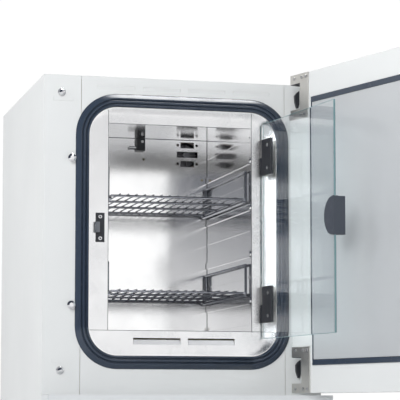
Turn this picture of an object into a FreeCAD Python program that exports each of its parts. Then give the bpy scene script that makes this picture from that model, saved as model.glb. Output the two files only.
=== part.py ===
import FreeCAD, Part
import os
import re
import Sketcher

# Laboratory incubator: an insulated cabinet with a polished steel chamber, a frameless glass inner
# door and an insulated outer door, both standing open. Origin on the floor, in the middle of the four
# feet; +Z up, front towards -Y. Both doors are described closed and then swung open about their pins.

SIZES = {
    # cabinet
    "width": 740,
    "depth": 700,
    "height": 1090,
    "sheet": 2,
    "post_overlap": 14,
    "seam": 1,
    # base with the controls
    "foot_height": 35,
    "foot_inset": 70,
    "base_height": 235,
    "fascia_reach": 98,
    "window_width": 150,
    "window_height": 52,
    "key_width": 26,
    "key_pitch": 40,
    "key_height": 18,
    "key_clearance": 0.6,
    "switch_width": 24,
    "switch_height": 34,
    "board_setback": 22,
    "inlet_x": -225,
    "inlet_rise": 75,
    # chamber and its mouth
    "side_margin": 83,
    "top_margin": 44,
    "bottom_margin": 66,
    "flange_side": 94,
    "flange_top": 71,
    "flange_bottom": 101,
    "flange_depth": 38,
    "rear_room": 205,
    "chamber_above_mouth": 33,
    "chamber_below_mouth": 12,
    "liner": 1.5,
    "wool_back": 110,
    "band_pitch": 124,
    "band_height": 18,
    "band_relief": 3,
    "bead_height": 4,
    "bead_relief": 1.5,
    # seal round the mouth
    "seal_band": 35,
    "seal_radius": 110,
    "seal_lip": 12.5,
    "seal_lip_width": 17,
    # louvres
    "top_louvre_width": 99,
    "top_louvre_pitch": 121,
    "top_louvre_height": 10,
    "top_louvre_drop": 28,
    "flange_louvre_width": 126,
    "flange_louvre_gap": 20,
    "flange_louvre_height": 17,
    "flange_louvre_drop": 36,
    "flange_louvre_depth": 5,
    "flange_louvre_mouth": 4,
    "air_space": 40,
    # fan and heater behind the back wall
    "fan_inset": 59,
    "fan_drop": 42,
    "fan_radius": 32,
    "motor_radius": 30,
    "probe_shift": 129,
    "probe_drop": 60,
    # outer door
    "door_gap": 16,
    "door_thickness": 82,
    "door_overlap": 14,
    "door_foot_gap": 6,
    "hinge_inset": 34,
    "hinge_forward": 68,
    "hinge_pin": 10,
    "hinge_fit": 0.08,
    "hinge_arm_width": 16,
    "hinge_arm_height": 60,
    "pocket_height": 76,
    "outer_open": 107,
    "gasket_inset": 10,
    "gasket_band": 14,
    "gasket_hinge_band": 3,
    "gasket_height": 3,
    "filling_gap": 0.4,
    # latch of the outer door
    "stud_inset": 72,
    "stud_spread": 376,
    "stud_head": 21,
    "stud_neck": 8,
    "latch_travel": 15,
    "latch_bar_width": 32,
    "handle_turn": 60,
    "handle_length": 120,
    "handle_width": 22,
    "handle_reach": 24,
    "crank_pin": 3,
    # glass door
    "glass_thickness": 5,
    "glass_standoff": 8,
    "glass_overlap_side": 20,
    "glass_overlap_low": 19,
    "glass_overlap_high": 11,
    "glass_pin_outset": 27,
    "glass_open": 97,
    "clamp_width": 55,
    "clamp_height": 95,
    "clamp_inset": 89.5,
    "clamp_plate": 3,
    "knuckle": 4.8,
    "glass_pin": 2.5,
    "knuckle_gap": 0.3,
    "grip_radius": 48,
    "grip_front": 5,
    "grip_rear": 4,
    # shelves
    "shelf_clearance": 1,
    "shelf_lift": 0.3,
    "shelf_depth": 410,
    "shelf_pitch": 249,
    "lower_shelf_rise": 103,
    "shelf_rod": 6,
    "shelf_wire": 3.6,
    "runner_rod": 7,
    "runner_height": 82,
}
SHELF_WIRES = 15

# places worked out from the sizes
FRONT = "(-depth/2)"
BACK = "(depth/2)"
SIDE = "(width/2)"
BASE_TOP = "(foot_height + base_height)"
SEAL_LOW = f"({BASE_TOP} + bottom_margin)"
SEAL_HIGH = "(height - top_margin)"
SEAL_MIDDLE = f"(({SEAL_LOW} + {SEAL_HIGH})/2)"
SEAL_SIDE = f"({SIDE} - side_margin)"
MOUTH_LOW = f"({SEAL_LOW} + flange_bottom)"
MOUTH_HIGH = f"({SEAL_HIGH} - flange_top)"
MOUTH_MIDDLE = f"(({MOUTH_LOW} + {MOUTH_HIGH})/2)"
MOUTH_SIDE = f"({SEAL_SIDE} - flange_side)"
FLOOR = f"({MOUTH_LOW} - chamber_below_mouth)"
CEILING = f"({MOUTH_HIGH} + chamber_above_mouth)"
FLANGE = f"({FRONT} + flange_depth)"
REAR = f"({BACK} - rear_room)"
FASCIA = f"({FRONT} - fascia_reach)"
DOOR_IN = f"({FRONT} - door_gap)"
DOOR_OUT = f"({DOOR_IN} - door_thickness)"
DOOR_LOW = f"({BASE_TOP} + door_foot_gap)"
DOOR_HIGH = "(height + door_overlap)"
PIN_X = f"({SIDE} - hinge_inset)"
PIN_Y = f"({FRONT} - hinge_forward)"
STUD_X = f"(stud_inset - {SIDE})"
STUD_Z = f"({SEAL_MIDDLE} - 5)"
GLASS_PIN_X = f"({MOUTH_SIDE} + glass_pin_outset)"
GLASS_PIN_Y = f"({FLANGE} - glass_standoff)"
GLASS_LOW = f"({MOUTH_LOW} - glass_overlap_low)"
GLASS_HIGH = f"({MOUTH_HIGH} + glass_overlap_high)"
GLASS_MIDDLE = f"(({GLASS_LOW} + {GLASS_HIGH})/2)"
GLASS_EDGE = f"({GLASS_PIN_X} - 6)"
GLASS_FREE = f"(-{MOUTH_SIDE} - glass_overlap_side)"
GLASS_IN = f"({FLANGE} - glass_standoff)"
GLASS_OUT = f"({GLASS_IN} - glass_thickness)"
FAN_X = f"({MOUTH_SIDE} - fan_inset)"
FAN_Z = f"({CEILING} - fan_drop)"
POST_EDGE = f"({SEAL_SIDE} - post_overlap)"
PROBE_X = f"({FAN_X} - probe_shift)"
PROBE_Z = f"({CEILING} - probe_drop)"
INLET_X = "inlet_x"
INLET_Z = "(foot_height + inlet_rise)"

doc = FreeCAD.newDocument("incubator")
sheet = doc.addObject("Spreadsheet::Sheet", "Sizes")
for row, (size_name, size) in enumerate(SIZES.items(), 1):
    sheet.set(f"A{row}", size_name)
    sheet.set(f"B{row}", str(size))
    sheet.setAlias(f"B{row}", size_name)
doc.recompute()

gauge = doc.addObject("App::FeaturePython", "Gauge")
gauge.addProperty("App::PropertyFloat", "Reading")

nodes = []
TURNS = {
    "x": FreeCAD.Rotation(FreeCAD.Vector(0, 1, 0), 90),
    "y": FreeCAD.Rotation(FreeCAD.Vector(1, 0, 0), -90),
    "z": FreeCAD.Rotation(),
}


def named(text):
    """An expression with each size name pointed at its cell."""
    def point(word):
        return f"Sizes.{word[0]}" if word[0] in SIZES else word[0]

    return re.sub(r"[a-z_]+", point, str(text))


def value(text):
    """The number an expression stands for now."""
    gauge.setExpression("Reading", named(text))
    gauge.recompute()
    return gauge.Reading


def box(name, xs, ys, zs):
    """A block between two places along each axis."""
    piece = doc.addObject("Part::Box", name)
    for axis, side, (low, high) in zip("xyz", ("Length", "Width", "Height"), (xs, ys, zs)):
        piece.setExpression(side, named(f"({high}) - ({low})"))
        piece.setExpression(f"Placement.Base.{axis}", named(low))
    return piece


def rod(name, radius, along, low, high, **place):
    """A round bar along one axis from low to high; place gives the other two coordinates."""
    piece = doc.addObject("Part::Cylinder", name)
    piece.Placement.Rotation = TURNS[along]
    piece.setExpression("Radius", named(radius))
    piece.setExpression("Height", named(f"({high}) - ({low})"))
    for axis, at in {**place, along: low}.items():
        piece.setExpression(f"Placement.Base.{axis}", named(at))
    return piece


def ball(name, radius, x, y, z):
    piece = doc.addObject("Part::Sphere", name)
    piece.setExpression("Radius", named(radius))
    for axis, at in (("x", x), ("y", y), ("z", z)):
        piece.setExpression(f"Placement.Base.{axis}", named(at))
    return piece


def fuse(name, *pieces):
    whole = doc.addObject("Part::MultiFuse", name)
    whole.Shapes = list(pieces)
    whole.Refine = True
    return whole


def cut(name, base, *tools):
    """Base with every tool taken away."""
    whole = doc.addObject("Part::Cut", name)
    whole.Base = base
    whole.Tool = tools[0] if len(tools) == 1 else fuse(f"{name}_tools", *tools)
    whole.Refine = True
    return whole


def group(name, *pieces):
    """Several separate solids kept together."""
    whole = doc.addObject("Part::Compound", name)
    whole.Links = list(pieces)
    return whole


def swing(name, piece, pin_x, pin_y, angle):
    """The piece turned about a vertical pin."""
    whole = group(name, piece)
    whole.Placement.Rotation = FreeCAD.Rotation(FreeCAD.Vector(0, 0, 1), 10)
    whole.setExpression("Placement.Rotation.Angle", named(angle))
    x = f"({pin_x})*(1 - cos({angle})) + ({pin_y})*sin({angle})"
    y = f"({pin_y})*(1 - cos({angle})) - ({pin_x})*sin({angle})"
    whole.setExpression("Placement.Base.x", named(x))
    whole.setExpression("Placement.Base.y", named(y))
    return whole


def rounded(name, half, ys, low, high, radius):
    """A block about x = 0 whose four long edges, along Y, are rounded."""
    blocks = [
        box(f"{name}_wide", (f"-({half})", half), ys, (f"{low} + {radius}", f"{high} - {radius}")),
        box(f"{name}_tall", (f"-({half}) + {radius}", f"{half} - ({radius})"), ys, (low, high)),
    ]
    for side in (-1, 1):
        for z, place in (("low", f"{low} + {radius}"), ("high", f"{high} - {radius}")):
            x = f"{side}*({half} - ({radius}))"
            corner = f"{name}_{z}_{'left' if side < 0 else 'right'}"
            blocks.append(rod(corner, radius, "y", *ys, x=x, z=place))
    return fuse(name, *blocks)


def seal_ring(name, inset, band, ys):
    """A ring that follows the seal's outline, inset from its outer edge and band wide."""
    rings = []
    for part, step in (("outer", f"({inset})"), ("inner", f"({inset} + {band})")):
        reach = ys if part == "outer" else (f"{ys[0]} - 1", f"{ys[1]} + 1")
        outline = (f"{SEAL_LOW} + {step}", f"{SEAL_HIGH} - {step}", f"(seal_radius - {step})")
        rings.append(rounded(f"{name}_{part}", f"{SEAL_SIDE} - {step}", reach, *outline))
    return cut(name, *rings)


def plane_of(body, role):
    return next(plane for plane in body.Origin.OriginFeatures if plane.Role == role)


def outline_sketch(body, name, plane, level, points):
    """A closed outline of straight edges whose corners are all tied to the sizes."""
    sketch = body.newObject("Sketcher::SketchObject", name)
    sketch.AttachmentSupport = [(plane_of(body, plane), "")]
    sketch.MapMode = "FlatFace"
    sign = "-1" if plane == "XZ_Plane" else "1"
    sketch.setExpression("AttachmentOffset.Base.z", named(f"{sign}*({level})"))
    places = [(value(u), value(v)) for u, v in points]
    count = len(points)
    for at, place in enumerate(places):
        following = places[(at + 1) % count]
        edge = Part.LineSegment(FreeCAD.Vector(*place, 0), FreeCAD.Vector(*following, 0))
        sketch.addGeometry(edge)
    for at in range(count):
        sketch.addConstraint(Sketcher.Constraint("Coincident", at, 2, (at + 1) % count, 1))
    for at, texts in enumerate(points):
        for kind, text, now in zip(("DistanceX", "DistanceY"), texts, places[at]):
            index = sketch.addConstraint(Sketcher.Constraint(kind, -1, 1, at, 1, now))
            label = f"corner_{at}_{kind[-1].lower()}"
            sketch.renameConstraint(index, label)
            sketch.setExpression(f"Constraints.{label}", named(text))
    return sketch


def prism(name, plane, points, low, high):
    """A body padded from an outline, between low and high along the plane's normal axis."""
    body = doc.addObject("PartDesign::Body", name)
    level = high if plane == "XZ_Plane" else low
    pad = body.newObject("PartDesign::Pad", f"{name}_pad")
    pad.Profile = outline_sketch(body, f"{name}_outline", plane, level, points)
    pad.setExpression("Length", named(f"({high}) - ({low})"))
    body.Tip = pad
    return body


def node(name, piece):
    """Marks a finished piece as a sub-part; its label names its file."""
    piece.Label = name
    nodes.append(piece)
    return piece


def outer_part(name, piece):
    """A sub-part of the outer door, swung open with it."""
    return node(name, swing(f"{name}_swung", piece, PIN_X, PIN_Y, "outer_open"))


def glass_part(name, piece):
    """A sub-part of the glass door, swung open with it."""
    return node(name, swing(f"{name}_swung", piece, GLASS_PIN_X, GLASS_PIN_Y, "glass_open"))


def sheet_u(name, half, low, high, wall, ys):
    """A sheet folded over the top and down both sides, extruded along Y."""
    points = [
        (f"-({half})", low),
        (f"-({half})", high),
        (half, high),
        (half, low),
        (f"{half} - ({wall})", low),
        (f"{half} - ({wall})", f"{high} - ({wall})"),
        (f"-({half}) + ({wall})", f"{high} - ({wall})"),
        (f"-({half}) + ({wall})", low),
    ]
    return prism(name, "XZ_Plane", points, *ys)


# ---------------------------------------------------------------- cabinet sheet metal
def casing():
    """One sheet folded over the roof and both sides, from the front posts to the back panel."""
    ys = (f"{FRONT} + sheet", f"{BACK} - sheet")
    node("outer_casing", sheet_u("casing", SIDE, "foot_height", "height", "sheet", ys))


def front_posts():
    """The two uprights of the front face, beside the seal."""
    ys = (FRONT, f"{FRONT} + sheet")
    zs = (BASE_TOP, "height")
    node("front_left_post", box("left_post", (f"-{SIDE}", f"-{POST_EDGE}"), ys, zs))
    node("front_right_post", box("right_post", (POST_EDGE, SIDE), ys, zs))


def front_strips():
    """The front face over and under the mouth; both follow the seal's rounded corners."""
    ys = (FRONT, f"{FRONT} + sheet")
    half = f"({POST_EDGE} - seam)"
    inset = "(seal_band - seal_lip_width - 1)"
    opening = (f"{SEAL_SIDE} - {inset}", (f"{FRONT} - 1", f"{FRONT} + sheet + 1"),
               f"{SEAL_LOW} + {inset}", f"{SEAL_HIGH} - {inset}", f"(seal_radius - {inset})")
    bottom = box("bottom_sheet", (f"-{half}", half), ys, (BASE_TOP, f"{SEAL_MIDDLE} - 100"))
    node("front_bottom_strip", cut("bottom_strip", bottom, rounded("bottom_mouth", *opening)))
    top = box("top_sheet", (f"-{half}", half), ys, (f"{SEAL_MIDDLE} + 100", "height"))
    centre = "(height - top_louvre_drop)"
    holes = [rounded("top_mouth", *opening)]
    vanes = []
    for at in range(4):
        low = f"({at}*top_louvre_pitch - 1.5*top_louvre_pitch - top_louvre_width/2)"
        zs = (f"{centre} - top_louvre_height/2", f"{centre} + top_louvre_height/2")
        xs = (low, f"{low} + top_louvre_width")
        holes.append(box(f"top_slot_{at}", xs, (f"{FRONT} - 1", f"{FRONT} + sheet + 1"), zs))
        blade = [
            (FRONT, zs[0]),
            (f"{FRONT} - 3.5", f"{zs[1]} - 1"),
            (f"{FRONT} - 2.3", zs[1]),
            (f"{FRONT} + sheet", f"{zs[0]} + 1"),
            (f"{FRONT} + sheet", zs[0]),
        ]
        vanes.append(prism(f"top_vane_{at}", "YZ_Plane", blade, *xs))
    node("front_top_strip", fuse("top_strip", cut("top_strip_sheet", top, *holes), *vanes))


def inlet_hole(name, front, back):
    """The cut-out for the mains inlet, low on the left of the back."""
    hole_x = (f"{INLET_X} - 25", f"{INLET_X} + 25")
    return box(name, hole_x, (front, back), (f"{INLET_Z} - 15", f"{INLET_Z} + 15"))


def back_panel():
    """The rear sheet, with the inlet's cut-out low on the left and a row of vents above it."""
    plate = box("back_sheet", (f"-{SIDE}", SIDE), (f"{BACK} - sheet", BACK), ("foot_height", "height"))
    reach = (f"{BACK} - sheet - 1", f"{BACK} + 1")
    tools = [inlet_hole("panel_inlet", *reach)]
    for at in range(6):
        low = f"({40 + 30 * at})"
        tools.append(box(f"back_vent_{at}", (low, f"{low} + 6"), reach, ("height - 220", "height - 120")))
    node("back_panel", cut("back", plate, *tools))


def base():
    """Sheet pan and deck round the space for the electrics, and the four feet."""
    front, rear = f"{FRONT} + sheet", f"{BACK} - sheet"
    outline = [
        (front, "foot_height"),
        (rear, "foot_height"),
        (rear, f"{BASE_TOP} + sheet"),
        (front, f"{BASE_TOP} + sheet"),
        (front, BASE_TOP),
        (f"{rear} - sheet", BASE_TOP),
        (f"{rear} - sheet", "foot_height + sheet"),
        (f"{front} + sheet", "foot_height + sheet"),
        (f"{front} + sheet", "foot_height + 40"),
        (front, "foot_height + 40"),
    ]
    inner = f"({SIDE} - sheet)"
    pan = prism("pan", "YZ_Plane", outline, f"-{inner}", inner)
    node("base_pan", cut("pan_cut", pan, inlet_hole("pan_inlet", f"{rear} - sheet - 1", f"{BACK} + 1")))
    feet = []
    for number, (side, face) in enumerate(((-1, -1), (1, -1), (-1, 1), (1, 1))):
        place = {"x": f"{side}*({SIDE} - foot_inset)", "y": f"{face}*({BACK} - foot_inset)"}
        pad = rod(f"foot_pad_{number}", 24, "z", 0, 14, **place)
        stem = rod(f"foot_stem_{number}", 9, "z", 12, "foot_height", **place)
        feet.append(fuse(f"foot_{number}", pad, stem))
    node("feet", group("feet_group", *feet))


# ---------------------------------------------------------------- controls
WINDOW_X = "(-width/2 + 70)"
WINDOW_Z = "(foot_height + base_height/2 + 8)"
KEYS_X = f"({WINDOW_X} + window_width + 50)"
SWITCH_X = f"({SIDE} - 90)"


def key_x(number):
    return f"({KEYS_X} + {number}*key_pitch)"


def fascia():
    """The control housing: a folded sheet box in front of the base, flush with the closed door."""
    outer = box("fascia_box", (f"-{SIDE}", SIDE), (FASCIA, f"{FRONT} + sheet"), ("foot_height", BASE_TOP))
    hollow = box(
        "fascia_hollow",
        (f"-{SIDE} + sheet", f"{SIDE} - sheet"),
        (f"{FASCIA} + sheet", f"{FRONT} + sheet + 1"),
        ("foot_height + sheet", f"{BASE_TOP} - sheet"),
    )
    reach = (f"{FASCIA} - 1", f"{FASCIA} + sheet + 1")
    half = "(window_height/2)"
    tools = [hollow, box("window_hole", (WINDOW_X, f"{WINDOW_X} + window_width"), reach,
                         (f"{WINDOW_Z} - {half}", f"{WINDOW_Z} + {half}"))]
    for number in range(3):
        low, high = f"{key_x(number)} - key_width/2", f"{key_x(number)} + key_width/2"
        zs = (f"{WINDOW_Z} - key_height/2", f"{WINDOW_Z} + key_height/2")
        tools.append(box(f"key_hole_{number}", (low, high), reach, zs))
    switch_x = (f"{SWITCH_X} - switch_width/2", f"{SWITCH_X} + switch_width/2")
    switch_z = (f"{WINDOW_Z} - switch_height/2", f"{WINDOW_Z} + switch_height/2")
    tools.append(box("switch_hole", switch_x, reach, switch_z))
    node("control_fascia", cut("fascia", outer, *tools))


def controls():
    """Display window, its board behind it, three keys and the rocker switch."""
    half = "(window_height/2 - 0.3)"
    glass = (f"{WINDOW_X} + 0.3", f"{WINDOW_X} + window_width - 0.3")
    zs = (f"{WINDOW_Z} - {half}", f"{WINDOW_Z} + {half}")
    node("display_window", box("window", glass, (f"{FASCIA} - 0.6", f"{FASCIA} + 5"), zs))
    board_y = f"({FASCIA} + board_setback)"
    board = box("board_plate", (WINDOW_X, f"{key_x(2)} + 30"), (board_y, f"{board_y} + 2"),
                (f"{WINDOW_Z} - 40", f"{WINDOW_Z} + 40"))
    display = box("board_display", (f"{WINDOW_X} + 8", f"{WINDOW_X} + window_width - 8"),
                  (f"{FASCIA} + 6", board_y), (f"{WINDOW_Z} - 18", f"{WINDOW_Z} + 18"))
    posts = [rod(f"board_post_{side}", 4, "z", "foot_height + sheet", f"{WINDOW_Z} - 39",
                 x=f"{WINDOW_X} + {30 + 180 * side}", y=f"{board_y} + 1") for side in (0, 1)]
    domes = [rod(f"board_switch_{number}", 3, "y", f"{FASCIA} + 8", board_y, x=key_x(number), z=WINDOW_Z)
             for number in range(3)]
    node("control_board", fuse("board", board, display, *posts, *domes))
    for number, name in enumerate(("key_down", "key_up", "key_set")):
        x = key_x(number)
        wide = "(key_width/2 - key_clearance)"
        tall = "(key_height/2 - key_clearance)"
        cap_z = (f"{WINDOW_Z} - {tall}", f"{WINDOW_Z} + {tall}")
        cap_x = (f"{x} - {wide}", f"{x} + {wide}")
        cap = box(f"{name}_cap", cap_x, (f"{FASCIA} - 3", f"{FASCIA} + 6"), cap_z)
        flare_x = (f"{x} - {wide} - 3", f"{x} + {wide} + 3")
        flare_z = (f"{WINDOW_Z} - key_height/2 - 2", f"{WINDOW_Z} + key_height/2 + 2")
        flare = box(f"{name}_flare", flare_x, (f"{FASCIA} + sheet + 0.3", f"{FASCIA} + 6"), flare_z)
        node(name, fuse(name, cap, flare))
    half_tall = "(switch_height/2 - 2.5)"
    rocker = [
        (f"{FASCIA} - 4", f"{WINDOW_Z} - {half_tall}"),
        (FASCIA, WINDOW_Z),
        (FASCIA, f"{WINDOW_Z} + {half_tall}"),
        (f"{FASCIA} + 12", f"{WINDOW_Z} + {half_tall} - 2.5"),
        (f"{FASCIA} + 12", f"{WINDOW_Z} - {half_tall} + 2.5"),
    ]
    ends = (f"{SWITCH_X} - switch_width/2 + 1", f"{SWITCH_X} + switch_width/2 - 1")
    node("power_switch", prism("rocker", "YZ_Plane", rocker, *ends))


def power():
    """Mains inlet on the back, with the power supply on the pan behind it."""
    block_x = (f"{INLET_X} - 24.5", f"{INLET_X} + 24.5")
    block_z = (f"{INLET_Z} - 14.5", f"{INLET_Z} + 14.5")
    block = box("inlet_body", block_x, (f"{BACK} - 30", f"{BACK} + 1"), block_z)
    flange_x = (f"{INLET_X} - 31", f"{INLET_X} + 31")
    flange_z = (f"{INLET_Z} - 21", f"{INLET_Z} + 21")
    flange = box("inlet_flange", flange_x, (BACK, f"{BACK} + 3"), flange_z)
    well_x = (f"{INLET_X} - 17", f"{INLET_X} + 17")
    well_z = (f"{INLET_Z} - 10", f"{INLET_Z} + 10")
    well = box("inlet_well", well_x, (f"{BACK} - 20", f"{BACK} + 4"), well_z)
    pins = []
    for at, (x, z) in enumerate(((-7, -5), (0, -1), (7, -5))):
        pin_x = (f"{INLET_X} + {x} - 1", f"{INLET_X} + {x} + 1")
        pin_z = (f"{INLET_Z} + {z}", f"{INLET_Z} + {z} + 5")
        pins.append(box(f"inlet_pin_{at}", pin_x, (f"{BACK} - 21", f"{BACK} - 5"), pin_z))
    shell = cut("inlet_shell", fuse("inlet_block", flange, block), well)
    node("mains_inlet", fuse("inlet", shell, *pins))
    supply_x = (f"{INLET_X} - 55", f"{INLET_X} + 105")
    supply_y = (f"{BACK} - 200", f"{BACK} - 60")
    node("power_supply", box("supply", supply_x, supply_y, ("foot_height + sheet", "foot_height + 90")))


# ---------------------------------------------------------------- chamber
def fan_slots(ys):
    """The grille in the back wall: three flat slots, and four short ones set askew at the corners."""
    slots = []
    for at, (half, height, z) in enumerate(((20, 17, 27), (31, 17, 0), (20, 17, -27))):
        zs = (f"{FAN_Z} + {z - height / 2}", f"{FAN_Z} + {z + height / 2}")
        slots.append(box(f"fan_slot_{at}", (f"{FAN_X} - {half}", f"{FAN_X} + {half}"), ys, zs))
    for at, (side, up) in enumerate(((-1, -1), (1, -1), (-1, 1), (1, 1))):
        x, z = f"({FAN_X} + {side * 28})", f"({FAN_Z} + {up * 27})"
        slots.append(rod(f"fan_corner_{at}", 4, "y", *ys, x=x, z=z))
    return slots


def chamber():
    """Liner of five sheets; both side walls carry pressed bands and beads for the shelf hoops."""
    inner = (f"-{MOUTH_SIDE}", MOUTH_SIDE)
    outer = (f"-{MOUTH_SIDE} - liner", f"{MOUTH_SIDE} + liner")
    face = f"({FLANGE} + liner)"
    back = box("rear_sheet", outer, (REAR, f"{REAR} + liner"), (f"{FLOOR} - liner", f"{CEILING} + liner"))
    reach = (f"{REAR} - 1", f"{REAR} + liner + 1")
    probe_hole = rod("probe_hole", 3.5, "y", *reach, x=PROBE_X, z=PROBE_Z)
    fixing = rod("fixing_hole", 3, "y", *reach, x=f"{FAN_X} + 44", z=f"{FAN_Z} - 73")
    node("chamber_back_wall", cut("rear_wall", back, *fan_slots(reach), probe_hole, fixing))
    node("chamber_ceiling", box("ceiling", outer, (face, REAR), (CEILING, f"{CEILING} + liner")))
    node("chamber_floor", box("chamber_base", outer, (face, REAR), (f"{FLOOR} - liner", FLOOR)))
    for side, name in ((-1, "left"), (1, "right")):
        skin = sorted((f"{side}*{MOUTH_SIDE}", f"{side}*({MOUTH_SIDE} + liner)"), key=value)
        wall = [box(f"{name}_skin", skin, (face, REAR), (FLOOR, CEILING))]
        holes = []
        ys = (f"{FLANGE} + 18", f"{REAR} - 8")
        for at in range(9):
            z = f"({MOUTH_MIDDLE} + {at - 4}*band_pitch/2)"
            wide = at % 2 == 1
            tall, relief = ("band_height", "band_relief") if wide else ("bead_height", "bead_relief")
            xs = sorted((f"{side}*({MOUTH_SIDE} - {relief})", f"{side}*{MOUTH_SIDE}"), key=value)
            wall.append(box(f"{name}_band_{at}", xs, ys, (f"{z} - {tall}/2", f"{z} + {tall}/2")))
            if wide:
                wall.append(rod(f"{name}_band_end_{at}", f"{tall}/2", "x", *xs, y=ys[0], z=z))
                through = (f"{xs[0]} - 3", f"{xs[1]} + 3")
                holes.append(rod(f"{name}_hole_{at}", 2, "x", *through, y=f"{ys[0]} + 14", z=z))
        for at in range(3 if side > 0 else 0):
            y = f"({REAR} - {26 - 7 * at})"
            low = f"({FLOOR} + 50)"
            across = (f"{MOUTH_SIDE} - 4", f"{MOUTH_SIDE} + 4")
            holes.append(box(f"air_slot_{at}", across, (y, f"{y} + 3"), (f"{low} - 20", f"{low} - 8")))
        node(f"chamber_{name}_wall", cut(f"{name}_wall", fuse(f"{name}_wall_whole", *wall), *holes))


def flanges():
    """Polished plates round the mouth, inside the collar, in four pieces that meet at hairline seams."""
    ys = (FLANGE, f"{FLANGE} + liner")
    inset = "(seal_band + 1.5)"
    plate = rounded("flange_plate", f"{SEAL_SIDE} - {inset}", ys, f"{SEAL_LOW} + {inset}",
                    f"{SEAL_HIGH} - {inset}", f"(seal_radius - {inset})")
    half = f"({SEAL_SIDE} - {inset})"
    zones = {
        "left": ((f"-{half}", f"-{MOUTH_SIDE} - seam/2"), (f"{MOUTH_LOW} + seam/2", SEAL_HIGH)),
        "right": ((f"{MOUTH_SIDE} + seam/2", half), (f"{MOUTH_LOW} + seam/2", SEAL_HIGH)),
        "top": ((f"-{MOUTH_SIDE} + seam/2", f"{MOUTH_SIDE} - seam/2"), (MOUTH_HIGH, SEAL_HIGH)),
        "bottom": ((f"-{half}", half), (SEAL_LOW, f"{MOUTH_LOW} - seam/2")),
    }
    for name, (xs, zs) in zones.items():
        zone = box(f"flange_{name}_zone", xs, (f"{ys[0]} - 1", f"{ys[1]} + 1"), zs)
        strip = doc.addObject("Part::Common", f"flange_{name}_strip")
        strip.Base = plate
        strip.Tool = zone
        if name != "bottom":
            node(f"flange_{name}", strip)
            continue
        windows, vanes = [], []
        top = f"({MOUTH_LOW} - flange_louvre_drop + flange_louvre_height)"
        for at in range(2):
            low = f"({at - 1}*(flange_louvre_width + flange_louvre_gap) + flange_louvre_gap/2 + 10)"
            zone_z = (f"{top} - flange_louvre_height", top)
            xs = (low, f"{low} + flange_louvre_width")
            windows.append(box(f"flange_slot_{at}", xs, (f"{ys[0]} - 1", f"{ys[1]} + 1"), zone_z))
            tip = f"({zone_z[1]} - flange_louvre_mouth)"
            blade = [
                (ys[0], zone_z[0]),
                (ys[1], zone_z[0]),
                (f"{ys[1]} + flange_louvre_depth", tip),
                (f"{ys[0]} + flange_louvre_depth", tip),
            ]
            vanes.append(prism(f"flange_vane_{at}", "YZ_Plane", blade, *xs))
        node("flange_bottom", fuse("flange_bottom_whole", cut("flange_bottom_cut", strip, *windows), *vanes))


def collar_and_seal():
    """Steel collar from the flange forward to the seal, and the ribbed rubber seal round it."""
    node("flange_collar", seal_ring("collar", "seal_band", "liner", (f"{FRONT} - 3", f"{FLANGE} + liner")))
    foot = seal_ring("seal_foot", "0", "seal_band", (f"{FRONT} - 4", FRONT))
    inset = "(seal_band - seal_lip_width)"
    lip = seal_ring("seal_rise", inset, "seal_lip_width", (f"{FRONT} - seal_lip", f"{FRONT} - 3"))
    skirt = seal_ring("seal_skirt", inset, "seal_lip_width", (FRONT, f"{FRONT} + 14"))
    rib = seal_ring("seal_rib", f"({inset} - 11)", "6", (f"{FRONT} - 8", f"{FRONT} - 3"))
    groove_y = (f"{FRONT} - seal_lip - 1", f"{FRONT} - seal_lip + 4")
    groove = seal_ring("seal_groove", "(seal_band - 11)", "4", groove_y)
    node("chamber_seal", cut("seal", fuse("seal_whole", foot, lip, skirt, rib), groove))


def insulation():
    """Blocks of mineral wool that fill the room between the casing and the chamber."""
    gap = 0.5
    ys = (f"{FLANGE} + liner + {gap}", f"{REAR} + liner")
    side = (f"{MOUTH_SIDE} + liner + {gap}", f"{SIDE} - sheet - {gap}")
    low, high = f"({FLOOR} - liner - {gap})", f"({CEILING} + liner + {gap})"
    whole = (f"{BASE_TOP} + sheet", f"height - sheet - {gap}")
    right = box("wool_right", side, ys, whole)
    left = box("wool_left", (f"-({side[1]})", f"-({side[0]})"), ys, whole)
    node("insulation_sides", group("wool_sides", left, right))
    across = (f"-({side[0]}) + {gap}", f"{side[0]} - {gap}")
    node("insulation_top", box("wool_top", across, ys, (high, whole[1])))
    behind_vanes = (f"{ys[0]} + air_space", ys[1])
    node("insulation_floor", box("wool_floor", across, behind_vanes, (whole[0], low)))
    deep = (f"{ys[1]} + {gap}", f"{REAR} + wool_back")
    back = box("wool_back", (f"-({side[1]})", side[1]), deep, whole)
    reach = (f"{deep[0]} - 1", f"{deep[1]} + 1")
    hollow = rod("wool_hollow", "fan_radius + 16", "y", *reach, x=FAN_X, z=FAN_Z)
    probe = rod("wool_probe", 4.5, "y", *reach, x=PROBE_X, z=PROBE_Z)
    node("insulation_back", cut("wool_back_cut", back, hollow, probe))


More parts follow.
